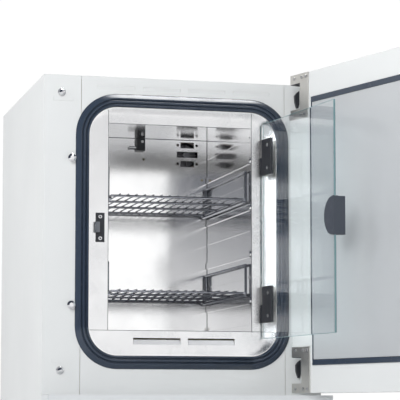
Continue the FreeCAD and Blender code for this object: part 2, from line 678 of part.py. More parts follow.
def fan():
    """Circulation fan behind the grille: housing, motor, impeller and the heater ring round it."""
    start = f"({REAR} + liner)"
    outer = rod("fan_cup", "fan_radius + 15", "y", start, f"{start} + 42", x=FAN_X, z=FAN_Z)
    room = rod("fan_room", "fan_radius + 13.5", "y", f"{start} - 1", f"{start} + 40", x=FAN_X, z=FAN_Z)
    neck = rod("fan_neck", 6, "y", f"{start} + 39", f"{start} + 43", x=FAN_X, z=FAN_Z)
    node("fan_housing", cut("fan_case", outer, room, neck))
    can = rod("motor_can", "motor_radius", "y", f"{start} + 42", f"{start} + 92", x=FAN_X, z=FAN_Z)
    bore = rod("motor_bore", f"3 + hinge_fit", "y", f"{start} + 41", f"{start} + 60", x=FAN_X, z=FAN_Z)
    node("fan_motor", cut("motor", can, bore))
    hub = rod("fan_hub", 9, "y", f"{start} + 8", f"{start} + 30", x=FAN_X, z=FAN_Z)
    shaft = rod("fan_shaft", 3, "y", f"{start} + 20", f"{start} + 58", x=FAN_X, z=FAN_Z)
    plate = rod("fan_plate", "fan_radius - 1", "y", f"{start} + 28", f"{start} + 30", x=FAN_X, z=FAN_Z)
    blades = []
    for at in range(8):
        blade = doc.addObject("Part::Box", f"fan_blade_{at}")
        blade.Placement.Rotation = FreeCAD.Rotation(FreeCAD.Vector(0, 1, 0), at * 45)
        blade.setExpression("Length", named("fan_radius - 2"))
        blade.Width = 18
        blade.Height = 1.5
        for axis, place in (("x", FAN_X), ("y", f"{start} + 11"), ("z", FAN_Z)):
            blade.setExpression(f"Placement.Base.{axis}", named(place))
        blades.append(blade)
    node("fan_impeller", fuse("impeller", hub, shaft, plate, *blades))
    ring = doc.addObject("Part::Torus", "heater_ring")
    ring.Placement.Rotation = TURNS["y"]
    ring.setExpression("Radius1", named("fan_radius + 7"))
    ring.Radius2 = 3.2
    tail_z = f"({FAN_Z} - fan_radius - 7)"
    tail = rod("heater_tail", 2.4, "y", f"{start} + 18", f"{start} + 40", x=FAN_X, z=tail_z)
    for axis, place in (("x", FAN_X), ("y", f"{start} + 18"), ("z", FAN_Z)):
        ring.setExpression(f"Placement.Base.{axis}", named(place))
    node("ring_heater", fuse("heater", ring, tail))


def sensor():
    """Temperature probe held by a small block under the ceiling."""
    x, z = f"({FAN_X} - 140)", f"({CEILING} - 19)"
    xs, zs = (f"{x} - 12", f"{x} + 12"), (f"{z} - 18", f"{z} + 18")
    block = box("sensor_block", xs, (f"{REAR} - 16", REAR), zs)
    bore = rod("sensor_bore", 4, "x", f"{x} - 13", f"{x} - 1", y=f"{REAR} - 8", z=f"{z} - 9")
    node("sensor_bracket", cut("sensor_mount", block, bore))
    node("sensor_probe", rod("probe", 3.9, "x", f"{x} - 34", f"{x} - 1", y=f"{REAR} - 8", z=f"{z} - 9"))


# ---------------------------------------------------------------- shelves
def shelf_z(number):
    return f"({MOUTH_LOW} + lower_shelf_rise + {number}*shelf_pitch)"


SHELF_FRONT = f"({FLANGE} + 22)"
SHELF_SIDE = f"({MOUTH_SIDE} - band_relief - runner_rod - shelf_clearance - shelf_rod/2)"


def runners():
    """Closed hoops of polished rod on both side walls; each shelf rides on a hoop's lower bar."""
    hoops = []
    radius = "runner_rod/2"
    ys = (f"{SHELF_FRONT} + 12", f"{REAR} - 14")
    for side in (-1, 1):
        for level in (0, 1):
            wall_x = f"({side}*({MOUTH_SIDE} - band_relief - runner_rod/2))"
            rail_x = f"({side}*{SHELF_SIDE})"
            low = f"({shelf_z(level)} - shelf_rod/2 - runner_rod/2 - shelf_lift)"
            high = f"({low} + runner_height)"
            stem = f"hoop_{'left' if side < 0 else 'right'}_{level}"
            bars = [rod(f"{stem}_rail", radius, "y", *ys, x=rail_x, z=low)]
            bars.append(rod(f"{stem}_top", radius, "y", *ys, x=wall_x, z=high))
            ends = sorted((wall_x, rail_x), key=value)
            for at, y in enumerate(ys):
                bars.append(rod(f"{stem}_leg_{at}", radius, "z", low, high, x=wall_x, y=y))
                bars.append(rod(f"{stem}_foot_{at}", radius, "x", *ends, y=y, z=low))
                bars += [ball(f"{stem}_knot_{at}{spot}", radius, x, y, z)
                         for spot, (x, z) in enumerate(((rail_x, low), (wall_x, low), (wall_x, high)))]
            hoops.append(fuse(stem, *bars))
    node("shelf_runners", group("hoops", *hoops))


def shelves():
    """Two wire shelves: a rod frame, two cross rods and wires from front to back laid on them."""
    ys = (SHELF_FRONT, f"{SHELF_FRONT} + shelf_depth")
    for level, name in enumerate(("shelf_lower", "shelf_upper")):
        z = shelf_z(level)
        rods = [rod(f"{name}_side_{at}", "shelf_rod/2", "y", *ys, x=f"{side}*{SHELF_SIDE}", z=z)
                for at, side in enumerate((-1, 1))]
        cross = [f"{ys[0]} + shelf_rod/2", f"{SHELF_FRONT} + shelf_depth/3",
                 f"{SHELF_FRONT} + shelf_depth*2/3", f"{ys[1]} - shelf_rod/2"]
        rods += [rod(f"{name}_cross_{at}", "shelf_rod/2", "x", f"-{SHELF_SIDE}", SHELF_SIDE, y=y, z=z)
                 for at, y in enumerate(cross)]
        pitch = f"(2*{SHELF_SIDE}/{SHELF_WIRES + 1})"
        lay = f"({z} + shelf_rod/2 + shelf_wire/2 - 0.6)"
        for at in range(SHELF_WIRES):
            x = f"({at - (SHELF_WIRES - 1) // 2}*{pitch})"
            ends = (f"{ys[0]} - 1", f"{ys[1]} + 1")
            rods.append(rod(f"{name}_wire_{at}", "shelf_wire/2", "y", *ends, x=x, z=lay))
        node(name, fuse(name, *rods))


# ---------------------------------------------------------------- fittings on the front
def front_fittings():
    """Catch studs for the outer door's latch, spare hinge studs and the blanked spare hinge slots."""
    studs = []
    for at, side in enumerate((-1, 1)):
        place = {"x": STUD_X, "z": f"{STUD_Z} + {side}*stud_spread/2"}
        neck = rod(f"stud_neck_{at}", "stud_neck/2", "y", f"{FRONT} - 11.5", FRONT, **place)
        foot = rod(f"stud_foot_{at}", "stud_neck/2 + 3", "y", f"{FRONT} - 2", FRONT, **place)
        head = rod(f"stud_head_{at}", "stud_head/2", "y", f"{FRONT} - 13.5", f"{FRONT} - 11", **place)
        crown = doc.addObject("Part::Cone", f"stud_crown_{at}")
        crown.Placement.Rotation = FreeCAD.Rotation(FreeCAD.Vector(1, 0, 0), 90)
        crown.setExpression("Radius1", named("stud_head/2"))
        crown.setExpression("Radius2", named("stud_head/4"))
        crown.Height = 3.5
        for axis, text in {**place, "y": f"{FRONT} - 13.5"}.items():
            crown.setExpression(f"Placement.Base.{axis}", named(text))
        studs.append(fuse(f"stud_{at}", neck, foot, head, crown))
    node("catch_studs", group("studs", *studs))
    caps, blanks = [], []
    for at, z in enumerate((f"({SEAL_LOW} - 4)", f"({SEAL_HIGH} - 2)")):
        place = {"x": f"-{SIDE} + 46", "z": z}
        rim = rod(f"cap_rim_{at}", 10, "y", f"{FRONT} - 3", FRONT, **place)
        dome = rod(f"cap_dome_{at}", 7.5, "y", f"{FRONT} - 6", f"{FRONT} - 2", **place)
        caps.append(fuse(f"cap_{at}", rim, dome))
        step = "-16.5" if at else "24"
        blanks.append(box(f"blank_{at}", (f"-{SIDE} + 24", f"-{SIDE} + 76"), (f"{FRONT} - 2", FRONT),
                          (f"{z} + {step} - 5", f"{z} + {step} + 5")))
    node("corner_studs", group("caps", *caps))
    node("blanking_strips", group("blanks", *blanks))


def pocket_zs(end):
    """Bottom and top of the hinge pocket in the outer door, at its lower or upper end."""
    if end == "low":
        return f"({DOOR_LOW} + 20)", f"({DOOR_LOW} + 20 + pocket_height)"
    return f"({DOOR_HIGH} - 20 - pocket_height)", f"({DOOR_HIGH} - 20)"


def hinge_arms():
    """Fixed arms with their pins, from the right post into the outer door's pockets."""
    arms = []
    half = "(hinge_arm_width/2)"
    for end in ("low", "high"):
        low, high = pocket_zs(end)
        middle = f"({low} + pocket_height/2)"
        zs = (f"{middle} - hinge_arm_height/2", f"{middle} + hinge_arm_height/2")
        bar = box(f"arm_bar_{end}", (f"{PIN_X} - {half}", f"{PIN_X} + {half}"), (PIN_Y, FRONT), zs)
        nose = rod(f"arm_nose_{end}", half, "z", *zs, x=PIN_X, y=PIN_Y)
        foot = box(f"arm_foot_{end}", (f"{PIN_X} - 24", f"{PIN_X} + 26"), (f"{FRONT} - 4", FRONT), zs)
        pin = rod(f"arm_pin_{end}", "hinge_pin/2", "z", f"{low} + 0.6", f"{high} - 0.6", x=PIN_X, y=PIN_Y)
        arms.append(fuse(f"arm_{end}", bar, nose, foot, pin))
    node("door_hinge_arms", group("arms", *arms))


# ---------------------------------------------------------------- outer door
def pocket(name, end, clear):
    """Room for the hinge, open towards the cabinet and the hinge side."""
    low, high = pocket_zs(end)
    return box(name, (f"{PIN_X} - 10 - {clear}", f"{SIDE} + 1"), (f"{DOOR_OUT} + sheet", f"{DOOR_IN} + 1"),
               (f"{low} - {clear}", f"{high} + {clear}"))


def outer_door():
    """Painted shell with a wide inner margin, insulation, a smooth inner panel and its black gasket."""
    zs = (DOOR_LOW, DOOR_HIGH)
    block = box("door_block", (f"-{SIDE}", SIDE), (DOOR_OUT, DOOR_IN), zs)
    void_y = (f"{DOOR_OUT} + sheet", f"{DOOR_IN} - sheet")
    void_z = (f"{zs[0]} + sheet", f"{zs[1]} - sheet")
    void = box("door_void", (f"-{SIDE} + sheet", f"{SIDE} - sheet"), void_y, void_z)
    edge_x = f"({SEAL_SIDE} - gasket_inset)"
    inset = "(gasket_inset + gasket_band)"
    window_x = (f"-({SEAL_SIDE} - {inset})", f"({edge_x} - gasket_hinge_band)")
    window_z = (f"({SEAL_LOW} + {inset})", f"({SEAL_HIGH} - {inset})")
    window = box("door_window", window_x, (f"{DOOR_IN} - sheet - 1", f"{DOOR_IN} + 1"), window_z)
    wells = [rod(f"stud_well_{at}", "stud_head/2 + 3", "y", f"{DOOR_IN} - 8", f"{DOOR_IN} + 1",
                 x=STUD_X, z=f"{STUD_Z} + {side}*stud_spread/2") for at, side in enumerate((-1, 1))]
    spindle = rod("spindle_bore", 7, "y", f"{DOOR_OUT} - 1", f"{DOOR_IN} + 1", x=STUD_X, z=STUD_Z)
    ends = ("low", "high")
    pockets = [pocket(f"shell_pocket_{end}", end, "0") for end in ends]
    skin = cut("shell_skin", block, void, window, *wells, spindle, *pockets)
    cases = []
    for end in ends:
        case = pocket(f"case_{end}", end, "liner")
        inside = box(f"case_{end}_limit", (f"-{SIDE}", SIDE), (DOOR_OUT, DOOR_IN), zs)
        kept = doc.addObject("Part::Common", f"case_{end}_kept")
        kept.Base, kept.Tool = case, inside
        cases.append(cut(f"case_{end}_walls", kept, pocket(f"case_{end}_room", end, "0")))
    outer_part("door_shell", fuse("shell", skin, *cases))

    gap = "filling_gap"
    wool_x = (f"-{SIDE} + sheet + {gap}", f"{SIDE} - sheet - {gap}")
    wool_z = (f"{zs[0]} + sheet + {gap}", f"{zs[1]} - sheet - {gap}")
    wool = box("door_wool", wool_x, (f"{DOOR_OUT} + sheet + {gap}", f"{DOOR_IN} - 4 - {gap}"), wool_z)
    deep_wells = [rod(f"wool_well_{at}", "stud_head/2 + 4", "y", f"{DOOR_IN} - 9", f"{DOOR_IN} + 1",
                      x=STUD_X, z=f"{STUD_Z} + {side}*stud_spread/2") for at, side in enumerate((-1, 1))]
    bore = rod("wool_bore", 8, "y", f"{DOOR_OUT} - 1", f"{DOOR_IN} + 1", x=STUD_X, z=STUD_Z)
    wide_pockets = [pocket(f"wool_pocket_{end}", end, f"(liner + {gap})") for end in ends]
    outer_part("door_insulation", cut("door_filling", wool, *deep_wells, bore, *wide_pockets))

    panel_x = (f"{window_x[0]} + {gap}", f"{window_x[1]} - {gap}")
    panel_z = (f"{window_z[0]} + {gap}", f"{window_z[1]} - {gap}")
    panel = box("door_panel", panel_x, (f"{DOOR_IN} - 4", f"{DOOR_IN} + 1.5"), panel_z)
    outer_part("door_inner_panel", panel)
    rim_z = (f"{SEAL_LOW} + gasket_inset", f"{SEAL_HIGH} - gasket_inset")
    rim = box("gasket_rim", (f"-{edge_x}", edge_x), (DOOR_IN, f"{DOOR_IN} + gasket_height"), rim_z)
    hole = box("gasket_hole", window_x, (f"{DOOR_IN} - 1", f"{DOOR_IN} + gasket_height + 1"), window_z)
    outer_part("door_gasket", cut("gasket", rim, hole))


def hinge_brackets():
    """Stainless frames round the hinge pockets, with ears above and below that turn on the pins."""
    brackets = []
    for end in ("low", "high"):
        low, high = pocket_zs(end)
        strap = (f"{PIN_X} - 46", f"{PIN_X} - 10")
        top = f"({high} + 20)" if end == "high" else f"({high} + 22)"
        bottom = f"({low} - 22)" if end == "high" else f"({low} - 20)"
        edge = f"({SIDE} - 1)"
        outline = [
            (strap[0], bottom),
            (edge, bottom),
            (edge, low),
            (strap[1], low),
            (strap[1], high),
            (edge, high),
            (edge, top),
            (strap[0], top),
        ]
        face = prism(f"bracket_face_{end}", "XZ_Plane", outline, DOOR_IN, f"{DOOR_IN} + 3")
        pieces = [face]
        for level, z in (("under", low), ("over", f"({high} - 4)")):
            xs = (f"{PIN_X} - 9.5", f"{SIDE} - 1")
            plate = box(f"ear_{end}_{level}", xs, (f"{PIN_Y} - 12", f"{DOOR_IN} + 3"), (z, f"{z} + 4"))
            pieces.append(plate)
        reach = (f"{low} - 1", f"{high} + 1")
        bore = rod(f"bracket_bore_{end}", "hinge_pin/2 + hinge_fit", "z", *reach, x=PIN_X, y=PIN_Y)
        brackets.append(cut(f"bracket_{end}", fuse(f"bracket_whole_{end}", *pieces), bore))
    outer_part("door_hinge_brackets", group("brackets", *brackets))


GUIDE_STEP = 90


def latch():
    """Flat bar with two keyholes that slides behind the stud heads, its guides, and the turned handle."""
    ys = (f"{FRONT} - 10.5", f"{FRONT} - 8")
    reach = (f"{ys[0]} - 1", f"{ys[1]} + 1")
    half = "(latch_bar_width/2)"
    bar = box("bar_blank", (f"{STUD_X} - {half}", f"{STUD_X} + {half}"), ys,
              (f"{STUD_Z} - stud_spread/2 - 36", f"{STUD_Z} + stud_spread/2 + 44"))
    tools = []
    for at, side in enumerate((-1, 1)):
        z = f"({STUD_Z} + {side}*stud_spread/2)"
        tools.append(rod(f"keyhole_{at}", "stud_head/2 + 1.8", "y", *reach, x=STUD_X, z=z))
        slot = "(stud_neck/2 + 0.7)"
        slot_x = (f"{STUD_X} - {slot}", f"{STUD_X} + {slot}")
        tools.append(box(f"key_slot_{at}", slot_x, reach, (z, f"{z} + latch_travel")))
        tools.append(rod(f"key_end_{at}", slot, "y", *reach, x=STUD_X, z=f"{z} + latch_travel"))
    guides = []
    for at, side in enumerate((-1, 1)):
        z = f"({STUD_Z} + {side * GUIDE_STEP})"
        slot_x, slot_z = (f"{STUD_X} - 3.5", f"{STUD_X} + 3.5"), (f"{z} - 3.5", f"{z} + latch_travel + 3.5")
        tools.append(box(f"guide_slot_{at}", slot_x, reach, slot_z))
        spacer = rod(f"guide_spacer_{at}", 7, "y", DOOR_IN, f"{ys[0]} - 0.4", x=STUD_X, z=z)
        shank = rod(f"guide_shank_{at}", 3, "y", DOOR_IN, f"{ys[1]} + 0.4", x=STUD_X, z=z)
        head = rod(f"guide_head_{at}", 6.5, "y", f"{ys[1]} + 0.3", f"{ys[1]} + 1.9", x=STUD_X, z=z)
        guides.append(fuse(f"guide_{at}", spacer, shank, head))
    crank_z = f"({STUD_Z} + latch_travel/2)"
    tools.append(box("crank_notch", (f"{STUD_X} + latch_travel/2", f"{STUD_X} + {half} + 1"), reach,
                     (f"{crank_z} - 3.4", f"{crank_z} + 3.4")))
    outer_part("latch_bar", cut("latch_slide", bar, *tools))
    outer_part("latch_guides", group("guides", *guides))

    hub = rod("handle_hub", 19, "y", f"{DOOR_OUT} - handle_reach", f"{DOOR_OUT} - 0.5", x=STUD_X, z=STUD_Z)
    spindle = rod("handle_spindle", 6, "y", f"{DOOR_OUT} - 2", f"{DOOR_IN} + 4.6", x=STUD_X, z=STUD_Z)
    grip = (f"{DOOR_OUT} - handle_reach", f"{DOOR_OUT} - 8")
    lever = doc.addObject("Part::Box", "handle_lever")
    lever.Placement.Rotation = FreeCAD.Rotation(FreeCAD.Vector(0, 1, 0), 20)
    lever.setExpression("Placement.Rotation.Angle", named("90 - handle_turn"))
    lever.setExpression("Length", named("handle_length"))
    lever.setExpression("Width", named(f"({grip[1]}) - ({grip[0]})"))
    lever.setExpression("Height", named("handle_width"))
    lever.setExpression("Placement.Base.x", named(f"{STUD_X} - handle_width/2*sin(90 - handle_turn)"))
    lever.setExpression("Placement.Base.y", named(grip[0]))
    lever.setExpression("Placement.Base.z", named(f"{STUD_Z} - handle_width/2*cos(90 - handle_turn)"))
    tip_x = f"({STUD_X} + handle_length*cos(90 - handle_turn))"
    tip_z = f"({STUD_Z} - handle_length*sin(90 - handle_turn))"
    tip = rod("handle_tip", "handle_width/2", "y", *grip, x=tip_x, z=tip_z)
    disc_y = (f"{DOOR_IN} + 0.5", f"{DOOR_IN} + 4.8")
    disc = rod("crank_disc", "latch_travel + crank_pin + 1.5", "y", *disc_y, x=STUD_X, z=STUD_Z)
    pin_x = f"({STUD_X} + latch_travel*cos(handle_turn/2))"
    pin_z = f"({STUD_Z} + latch_travel*sin(handle_turn/2))"
    pin = rod("crank_pin", "crank_pin", "y", f"{DOOR_IN} + 1", f"{FRONT} - 7", x=pin_x, z=pin_z)
    outer_part("door_handle", fuse("handle", hub, spindle, lever, tip, disc, pin))


# ---------------------------------------------------------------- glass door
def glass_door():
    """Frameless pane, clamped by hinge plates on its right edge and gripped by half discs on its left."""
    zs = (GLASS_LOW, GLASS_HIGH)
    glass_part("glass_pane", box("pane", (GLASS_FREE, GLASS_EDGE), (GLASS_OUT, GLASS_IN), zs))
    clamps, leaves = [], []
    for at, side in enumerate((-1, 1)):
        middle = f"({GLASS_HIGH} - clamp_inset)" if side > 0 else f"({GLASS_LOW} + clamp_inset)"
        zs = (f"{middle} - clamp_height/2", f"{middle} + clamp_height/2")
        xs = (f"{GLASS_EDGE} - clamp_width", f"{GLASS_EDGE} + 1")
        outside, inside = f"({GLASS_OUT} - clamp_plate)", f"({GLASS_IN} + clamp_plate)"
        front = box(f"clamp_front_{at}", xs, (outside, GLASS_OUT), zs)
        rear = box(f"clamp_rear_{at}", xs, (GLASS_IN, inside), zs)
        web = box(f"clamp_web_{at}", (GLASS_EDGE, f"{GLASS_EDGE} + 3"), (outside, inside), zs)
        pin_place = {"x": GLASS_PIN_X, "y": GLASS_PIN_Y}
        eye = rod(f"clamp_eye_{at}", "knuckle", "z", zs[0], f"{middle} - knuckle_gap", **pin_place)
        reach = (f"{middle} - clamp_height", f"{middle} + clamp_height")
        bore = rod(f"clamp_bore_{at}", "glass_pin + hinge_fit", "z", *reach, **pin_place)
        room = rod(f"clamp_room_{at}", "knuckle + 0.6", "z", f"{middle} - knuckle_gap", reach[1], **pin_place)
        clamps.append(cut(f"clamp_{at}", fuse(f"clamp_whole_{at}", front, rear, web, eye), bore, room))
        leaf_zs = (f"{middle} + knuckle_gap", zs[1])
        leaf_x = (f"{GLASS_PIN_X} + 1", f"{SEAL_SIDE} - seal_band - 8")
        leaf = box(f"leaf_plate_{at}", leaf_x, (f"{FLANGE} - 3", FLANGE), zs)
        knuckle = rod(f"leaf_knuckle_{at}", "knuckle", "z", *leaf_zs, **pin_place)
        link_x = (leaf_x[0], f"{GLASS_PIN_X} + knuckle")
        link = box(f"leaf_link_{at}", link_x, (GLASS_PIN_Y, f"{FLANGE} - 1"), leaf_zs)
        pin = rod(f"leaf_pin_{at}", "glass_pin", "z", zs[0], f"{middle} + 1", **pin_place)
        leaves.append(fuse(f"leaf_{at}", leaf, knuckle, link, pin))
    glass_part("glass_hinge_clamps", group("clamps", *clamps))
    node("glass_hinge_leaves", group("leaves", *leaves))

    middle = GLASS_MIDDLE
    front_y, rear_y = f"({GLASS_OUT} - grip_front)", f"({GLASS_IN} + grip_rear)"
    keep_x = (f"{GLASS_FREE} - 3", f"{GLASS_FREE} + grip_radius + 1")
    keep_z = (f"{middle} - grip_radius", f"{middle} + grip_radius")
    discs = []
    for name, ys in (("front", (front_y, GLASS_OUT)), ("rear", (GLASS_IN, rear_y))):
        half_disc = doc.addObject("Part::Common", f"grip_half_{name}")
        half_disc.Base = rod(f"grip_disc_{name}", "grip_radius", "y", *ys, x=GLASS_FREE, z=middle)
        half_disc.Tool = box(f"grip_keep_{name}", keep_x, (f"{ys[0]} - 1", f"{ys[1]} + 1"), keep_z)
        discs.append(half_disc)
    bar_z = (f"{keep_z[0]} + 1", f"{keep_z[1]} - 1")
    spine = box("grip_spine", (keep_x[0], GLASS_FREE), (front_y, rear_y), bar_z)
    bar_y = (f"{GLASS_OUT} - 24", f"{front_y} + 1")
    bar = box("grip_bar", (keep_x[0], f"{GLASS_FREE} + 12"), bar_y, bar_z)
    glass_part("glass_handle", fuse("grip", *discs, spine, bar))


def glass_catch():
    """Plate on the left flange strip with a sprung roller that the glass door's edge snaps past."""
    middle = GLASS_MIDDLE
    x = f"({GLASS_FREE} - 8.5)"
    plate_x = (f"{x} - 4.5", f"{x} + 18.5")
    plate = box("catch_plate", plate_x, (f"{FLANGE} - 2", FLANGE), (f"{middle} - 38", f"{middle} + 38"))
    screws, cheeks = [], []
    for at, side in enumerate((-1, 1)):
        screw_z = f"({middle} + {28 * side})"
        screw_y = (f"{FLANGE} - 2.8", f"{FLANGE} - 1.5")
        screws.append(rod(f"catch_screw_{at}", 3.5, "y", *screw_y, x=f"{x} + 7", z=screw_z))
        cheek_z = f"({middle} + {11 * side})"
        cheek_x = (plate_x[0], f"{x} + 4.9")
        cheeks.append(box(f"catch_cheek_{at}", cheek_x, (f"{FLANGE} - 9", f"{FLANGE} - 1"),
                          (f"{cheek_z} - 1", f"{cheek_z} + 1")))
    node("glass_latch_plate", fuse("catch_base", plate, *screws, *cheeks))
    node("latch_roller", rod("roller", 4.2, "z", f"{middle} - 9", f"{middle} + 9", x=x, y=f"{FLANGE} - 6.5"))


casing()
front_posts()
front_strips()
back_panel()
base()
fascia()
controls()
power()
chamber()
flanges()
collar_and_seal()
insulation()
fan()
sensor()
runners()
shelves()
front_fittings()
hinge_arms()
outer_door()
hinge_brackets()
latch()
glass_door()
glass_catch()
doc.recompute()

for piece in doc.Objects:
    if {"Invalid", "Error"} & set(piece.State):
        raise RuntimeError(f"{piece.Name} did not build: {piece.State}")
for piece in nodes:
    if piece.Shape.isNull() or not piece.Shape.isValid() or not piece.Shape.Solids:
        raise RuntimeError(f"{piece.Label} has no valid solid")

os.makedirs("parts", exist_ok=True)
for piece in nodes:
    piece.Shape.exportStep(os.path.join("parts", f"{piece.Label}.step"))
print(len(nodes), "sub-parts written")
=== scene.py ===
import math
import bmesh
import bpy
from mathutils import Matrix, Vector


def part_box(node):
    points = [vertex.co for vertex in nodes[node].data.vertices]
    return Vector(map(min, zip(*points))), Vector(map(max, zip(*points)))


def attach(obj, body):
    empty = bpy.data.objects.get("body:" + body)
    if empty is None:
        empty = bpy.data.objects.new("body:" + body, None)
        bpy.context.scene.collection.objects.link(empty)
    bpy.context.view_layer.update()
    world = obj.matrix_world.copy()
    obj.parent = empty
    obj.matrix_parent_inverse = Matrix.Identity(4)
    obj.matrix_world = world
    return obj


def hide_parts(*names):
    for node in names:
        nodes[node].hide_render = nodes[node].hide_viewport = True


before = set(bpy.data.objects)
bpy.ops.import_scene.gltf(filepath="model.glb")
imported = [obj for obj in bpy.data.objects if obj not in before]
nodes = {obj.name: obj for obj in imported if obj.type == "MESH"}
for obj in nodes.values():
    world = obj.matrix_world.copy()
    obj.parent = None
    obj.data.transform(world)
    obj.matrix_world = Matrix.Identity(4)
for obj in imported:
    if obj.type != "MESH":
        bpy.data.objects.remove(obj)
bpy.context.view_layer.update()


# The studio camera stands low and to the left of the cabinet, looking slightly up past the open doors.
# It sees the chamber's mouth, the glass door edge-on and the inner face of the outer door.
camera = bpy.data.objects.new("studio_camera", bpy.data.cameras.new("studio_camera"))
bpy.context.scene.collection.objects.link(camera)
bpy.context.scene.camera = camera
camera.location = (-1.1491, -4.8971, 0.2313)
camera.rotation_euler = (math.radians(90 + 5.356), 0, -math.radians(14.684))
camera.data.sensor_width = 36
camera.data.lens = 163.66
camera.data.shift_y = 0.1
camera.data.clip_end = 60


# The studio: a pale matt floor, a white backdrop of light behind the cabinet, and a dimmer, cooler room
# in front of it that the polished steel mirrors. Two large soft lamps light the front and the left side, and
# a third, over the roof, only shows in polished faces.
def rescale(tree, source, old, new=(0.0, 1.0), smooth=False):
    """Carries a value from one range to another, with soft ends if asked."""
    node = tree.nodes.new("ShaderNodeMapRange")
    node.interpolation_type = "SMOOTHSTEP" if smooth else "LINEAR"
    node.inputs["From Min"].default_value, node.inputs["From Max"].default_value = old
    node.inputs["To Min"].default_value, node.inputs["To Max"].default_value = new
    tree.links.new(source, node.inputs["Value"])
    return node.outputs[0]


bpy.context.scene.view_settings.view_transform = "Standard"
room = bpy.data.worlds.new("studio")
bpy.context.scene.world = room
room.use_nodes = True
tree = room.node_tree
tree.nodes.clear()
direction = tree.nodes.new("ShaderNodeTexCoord")
axes = tree.nodes.new("ShaderNodeSeparateXYZ")
tree.links.new(direction.outputs["Generated"], axes.inputs[0])
behind = rescale(tree, axes.outputs["Y"], (-0.25, 0.35), smooth=True)
lean = tree.nodes.new("ShaderNodeMath")
lean.operation = "MULTIPLY_ADD"
lean.inputs[1].default_value = -0.32
tree.links.new(axes.outputs["X"], lean.inputs[0])
tree.links.new(axes.outputs["Z"], lean.inputs[2])
height = rescale(tree, lean.outputs[0], (0.09, 0.22), smooth=True)
front = tree.nodes.new("ShaderNodeMix")
front.data_type = "RGBA"
front.inputs["A"].default_value = (1.30, 1.30, 1.30, 1)
front.inputs["B"].default_value = (0.045, 0.055, 0.085, 1)
tree.links.new(height, front.inputs["Factor"])
whole = tree.nodes.new("ShaderNodeMix")
whole.data_type = "RGBA"
whole.inputs["B"].default_value = (1.02, 1.02, 1.02, 1)
tree.links.new(behind, whole.inputs["Factor"])
tree.links.new(front.outputs["Result"], whole.inputs["A"])
light = tree.nodes.new("ShaderNodeBackground")
tree.links.new(whole.outputs["Result"], light.inputs["Color"])
seen = tree.nodes.new("ShaderNodeLightPath")
strength = rescale(tree, seen.outputs["Is Camera Ray"], (0.0, 1.0), (0.86, 1.0))
tree.links.new(strength, light.inputs["Strength"])
out = tree.nodes.new("ShaderNodeOutputWorld")
tree.links.new(light.outputs[0], out.inputs["Surface"])


def soft_lamp(name, place, aim, size, power, colour, gloss_only):
    """A square area lamp turned towards a point; it either lights surfaces or only shows in their gloss."""
    data = bpy.data.lights.new(name, "AREA")
    data.size = size
    data.energy = power
    data.color = colour
    lamp = bpy.data.objects.new(name, data)
    lamp.location = place
    lamp.rotation_euler = (Vector(aim) - Vector(place)).to_track_quat("-Z", "Y").to_euler()
    lamp.visible_glossy = gloss_only
    lamp.visible_diffuse = not gloss_only
    bpy.context.scene.collection.objects.link(lamp)


soft_lamp("front_lamp", (-2.4, -4.4, 2.15), (0, -0.3, 0.7), 2.6, 158, (1.0, 1.0, 1.0), False)
soft_lamp("side_lamp", (-3.6, -0.8, 2.2), (-0.3, 0, 0.7), 2.0, 36, (0.98, 0.99, 1.0), False)
soft_lamp("roof_lamp", (0.42, -0.15, 3.3), (0.1, -0.4, 1.0), 1.5, 120, (1.0, 1.0, 1.0), True)

floor_mesh = bpy.data.meshes.new("studio_floor")
sheet = bmesh.new()
bmesh.ops.create_grid(sheet, x_segments=2, y_segments=2, size=9)
sheet.to_mesh(floor_mesh)
sheet.free()
floor = bpy.data.objects.new("studio_floor", floor_mesh)
bpy.context.scene.collection.objects.link(floor)
floor_mesh.materials.append(bpy.data.materials.new("pale_floor"))
floor_mesh.materials[0].use_nodes = True
matt = floor_mesh.materials[0].node_tree.nodes["Principled BSDF"]
matt.inputs["Base Color"].default_value = (0.86, 0.86, 0.86, 1)
matt.inputs["Roughness"].default_value = 0.75


# Cabinet sheet metal: folded steel sheets with a light grey-white powder coat, welded at the corners and
# screwed to the back. The coat has a fine orange peel, sits thinner on the folds and picks up a little dust.
def multiply(tree, first, second, clamp=False):
    """The product of two outputs."""
    node = tree.nodes.new("ShaderNodeMath")
    node.operation = "MULTIPLY"
    node.use_clamp = clamp
    tree.links.new(first, node.inputs[0])
    tree.links.new(second, node.inputs[1])
    return node.outputs[0]


def shared_effect(name, takes, gives):
    """An empty node group with named inputs and outputs, and its two ends."""
    group = bpy.data.node_groups.new(name, "ShaderNodeTree")
    for label, kind, start in takes:
        socket = group.interface.new_socket(label, in_out="INPUT", socket_type=kind)
        socket.default_value = start
    for label, kind in gives:
        group.interface.new_socket(label, in_out="OUTPUT", socket_type=kind)
    return group, group.nodes.new("NodeGroupInput"), group.nodes.new("NodeGroupOutput")


NUMBER, VECTOR, COLOUR = "NodeSocketFloat", "NodeSocketVector", "NodeSocketColor"

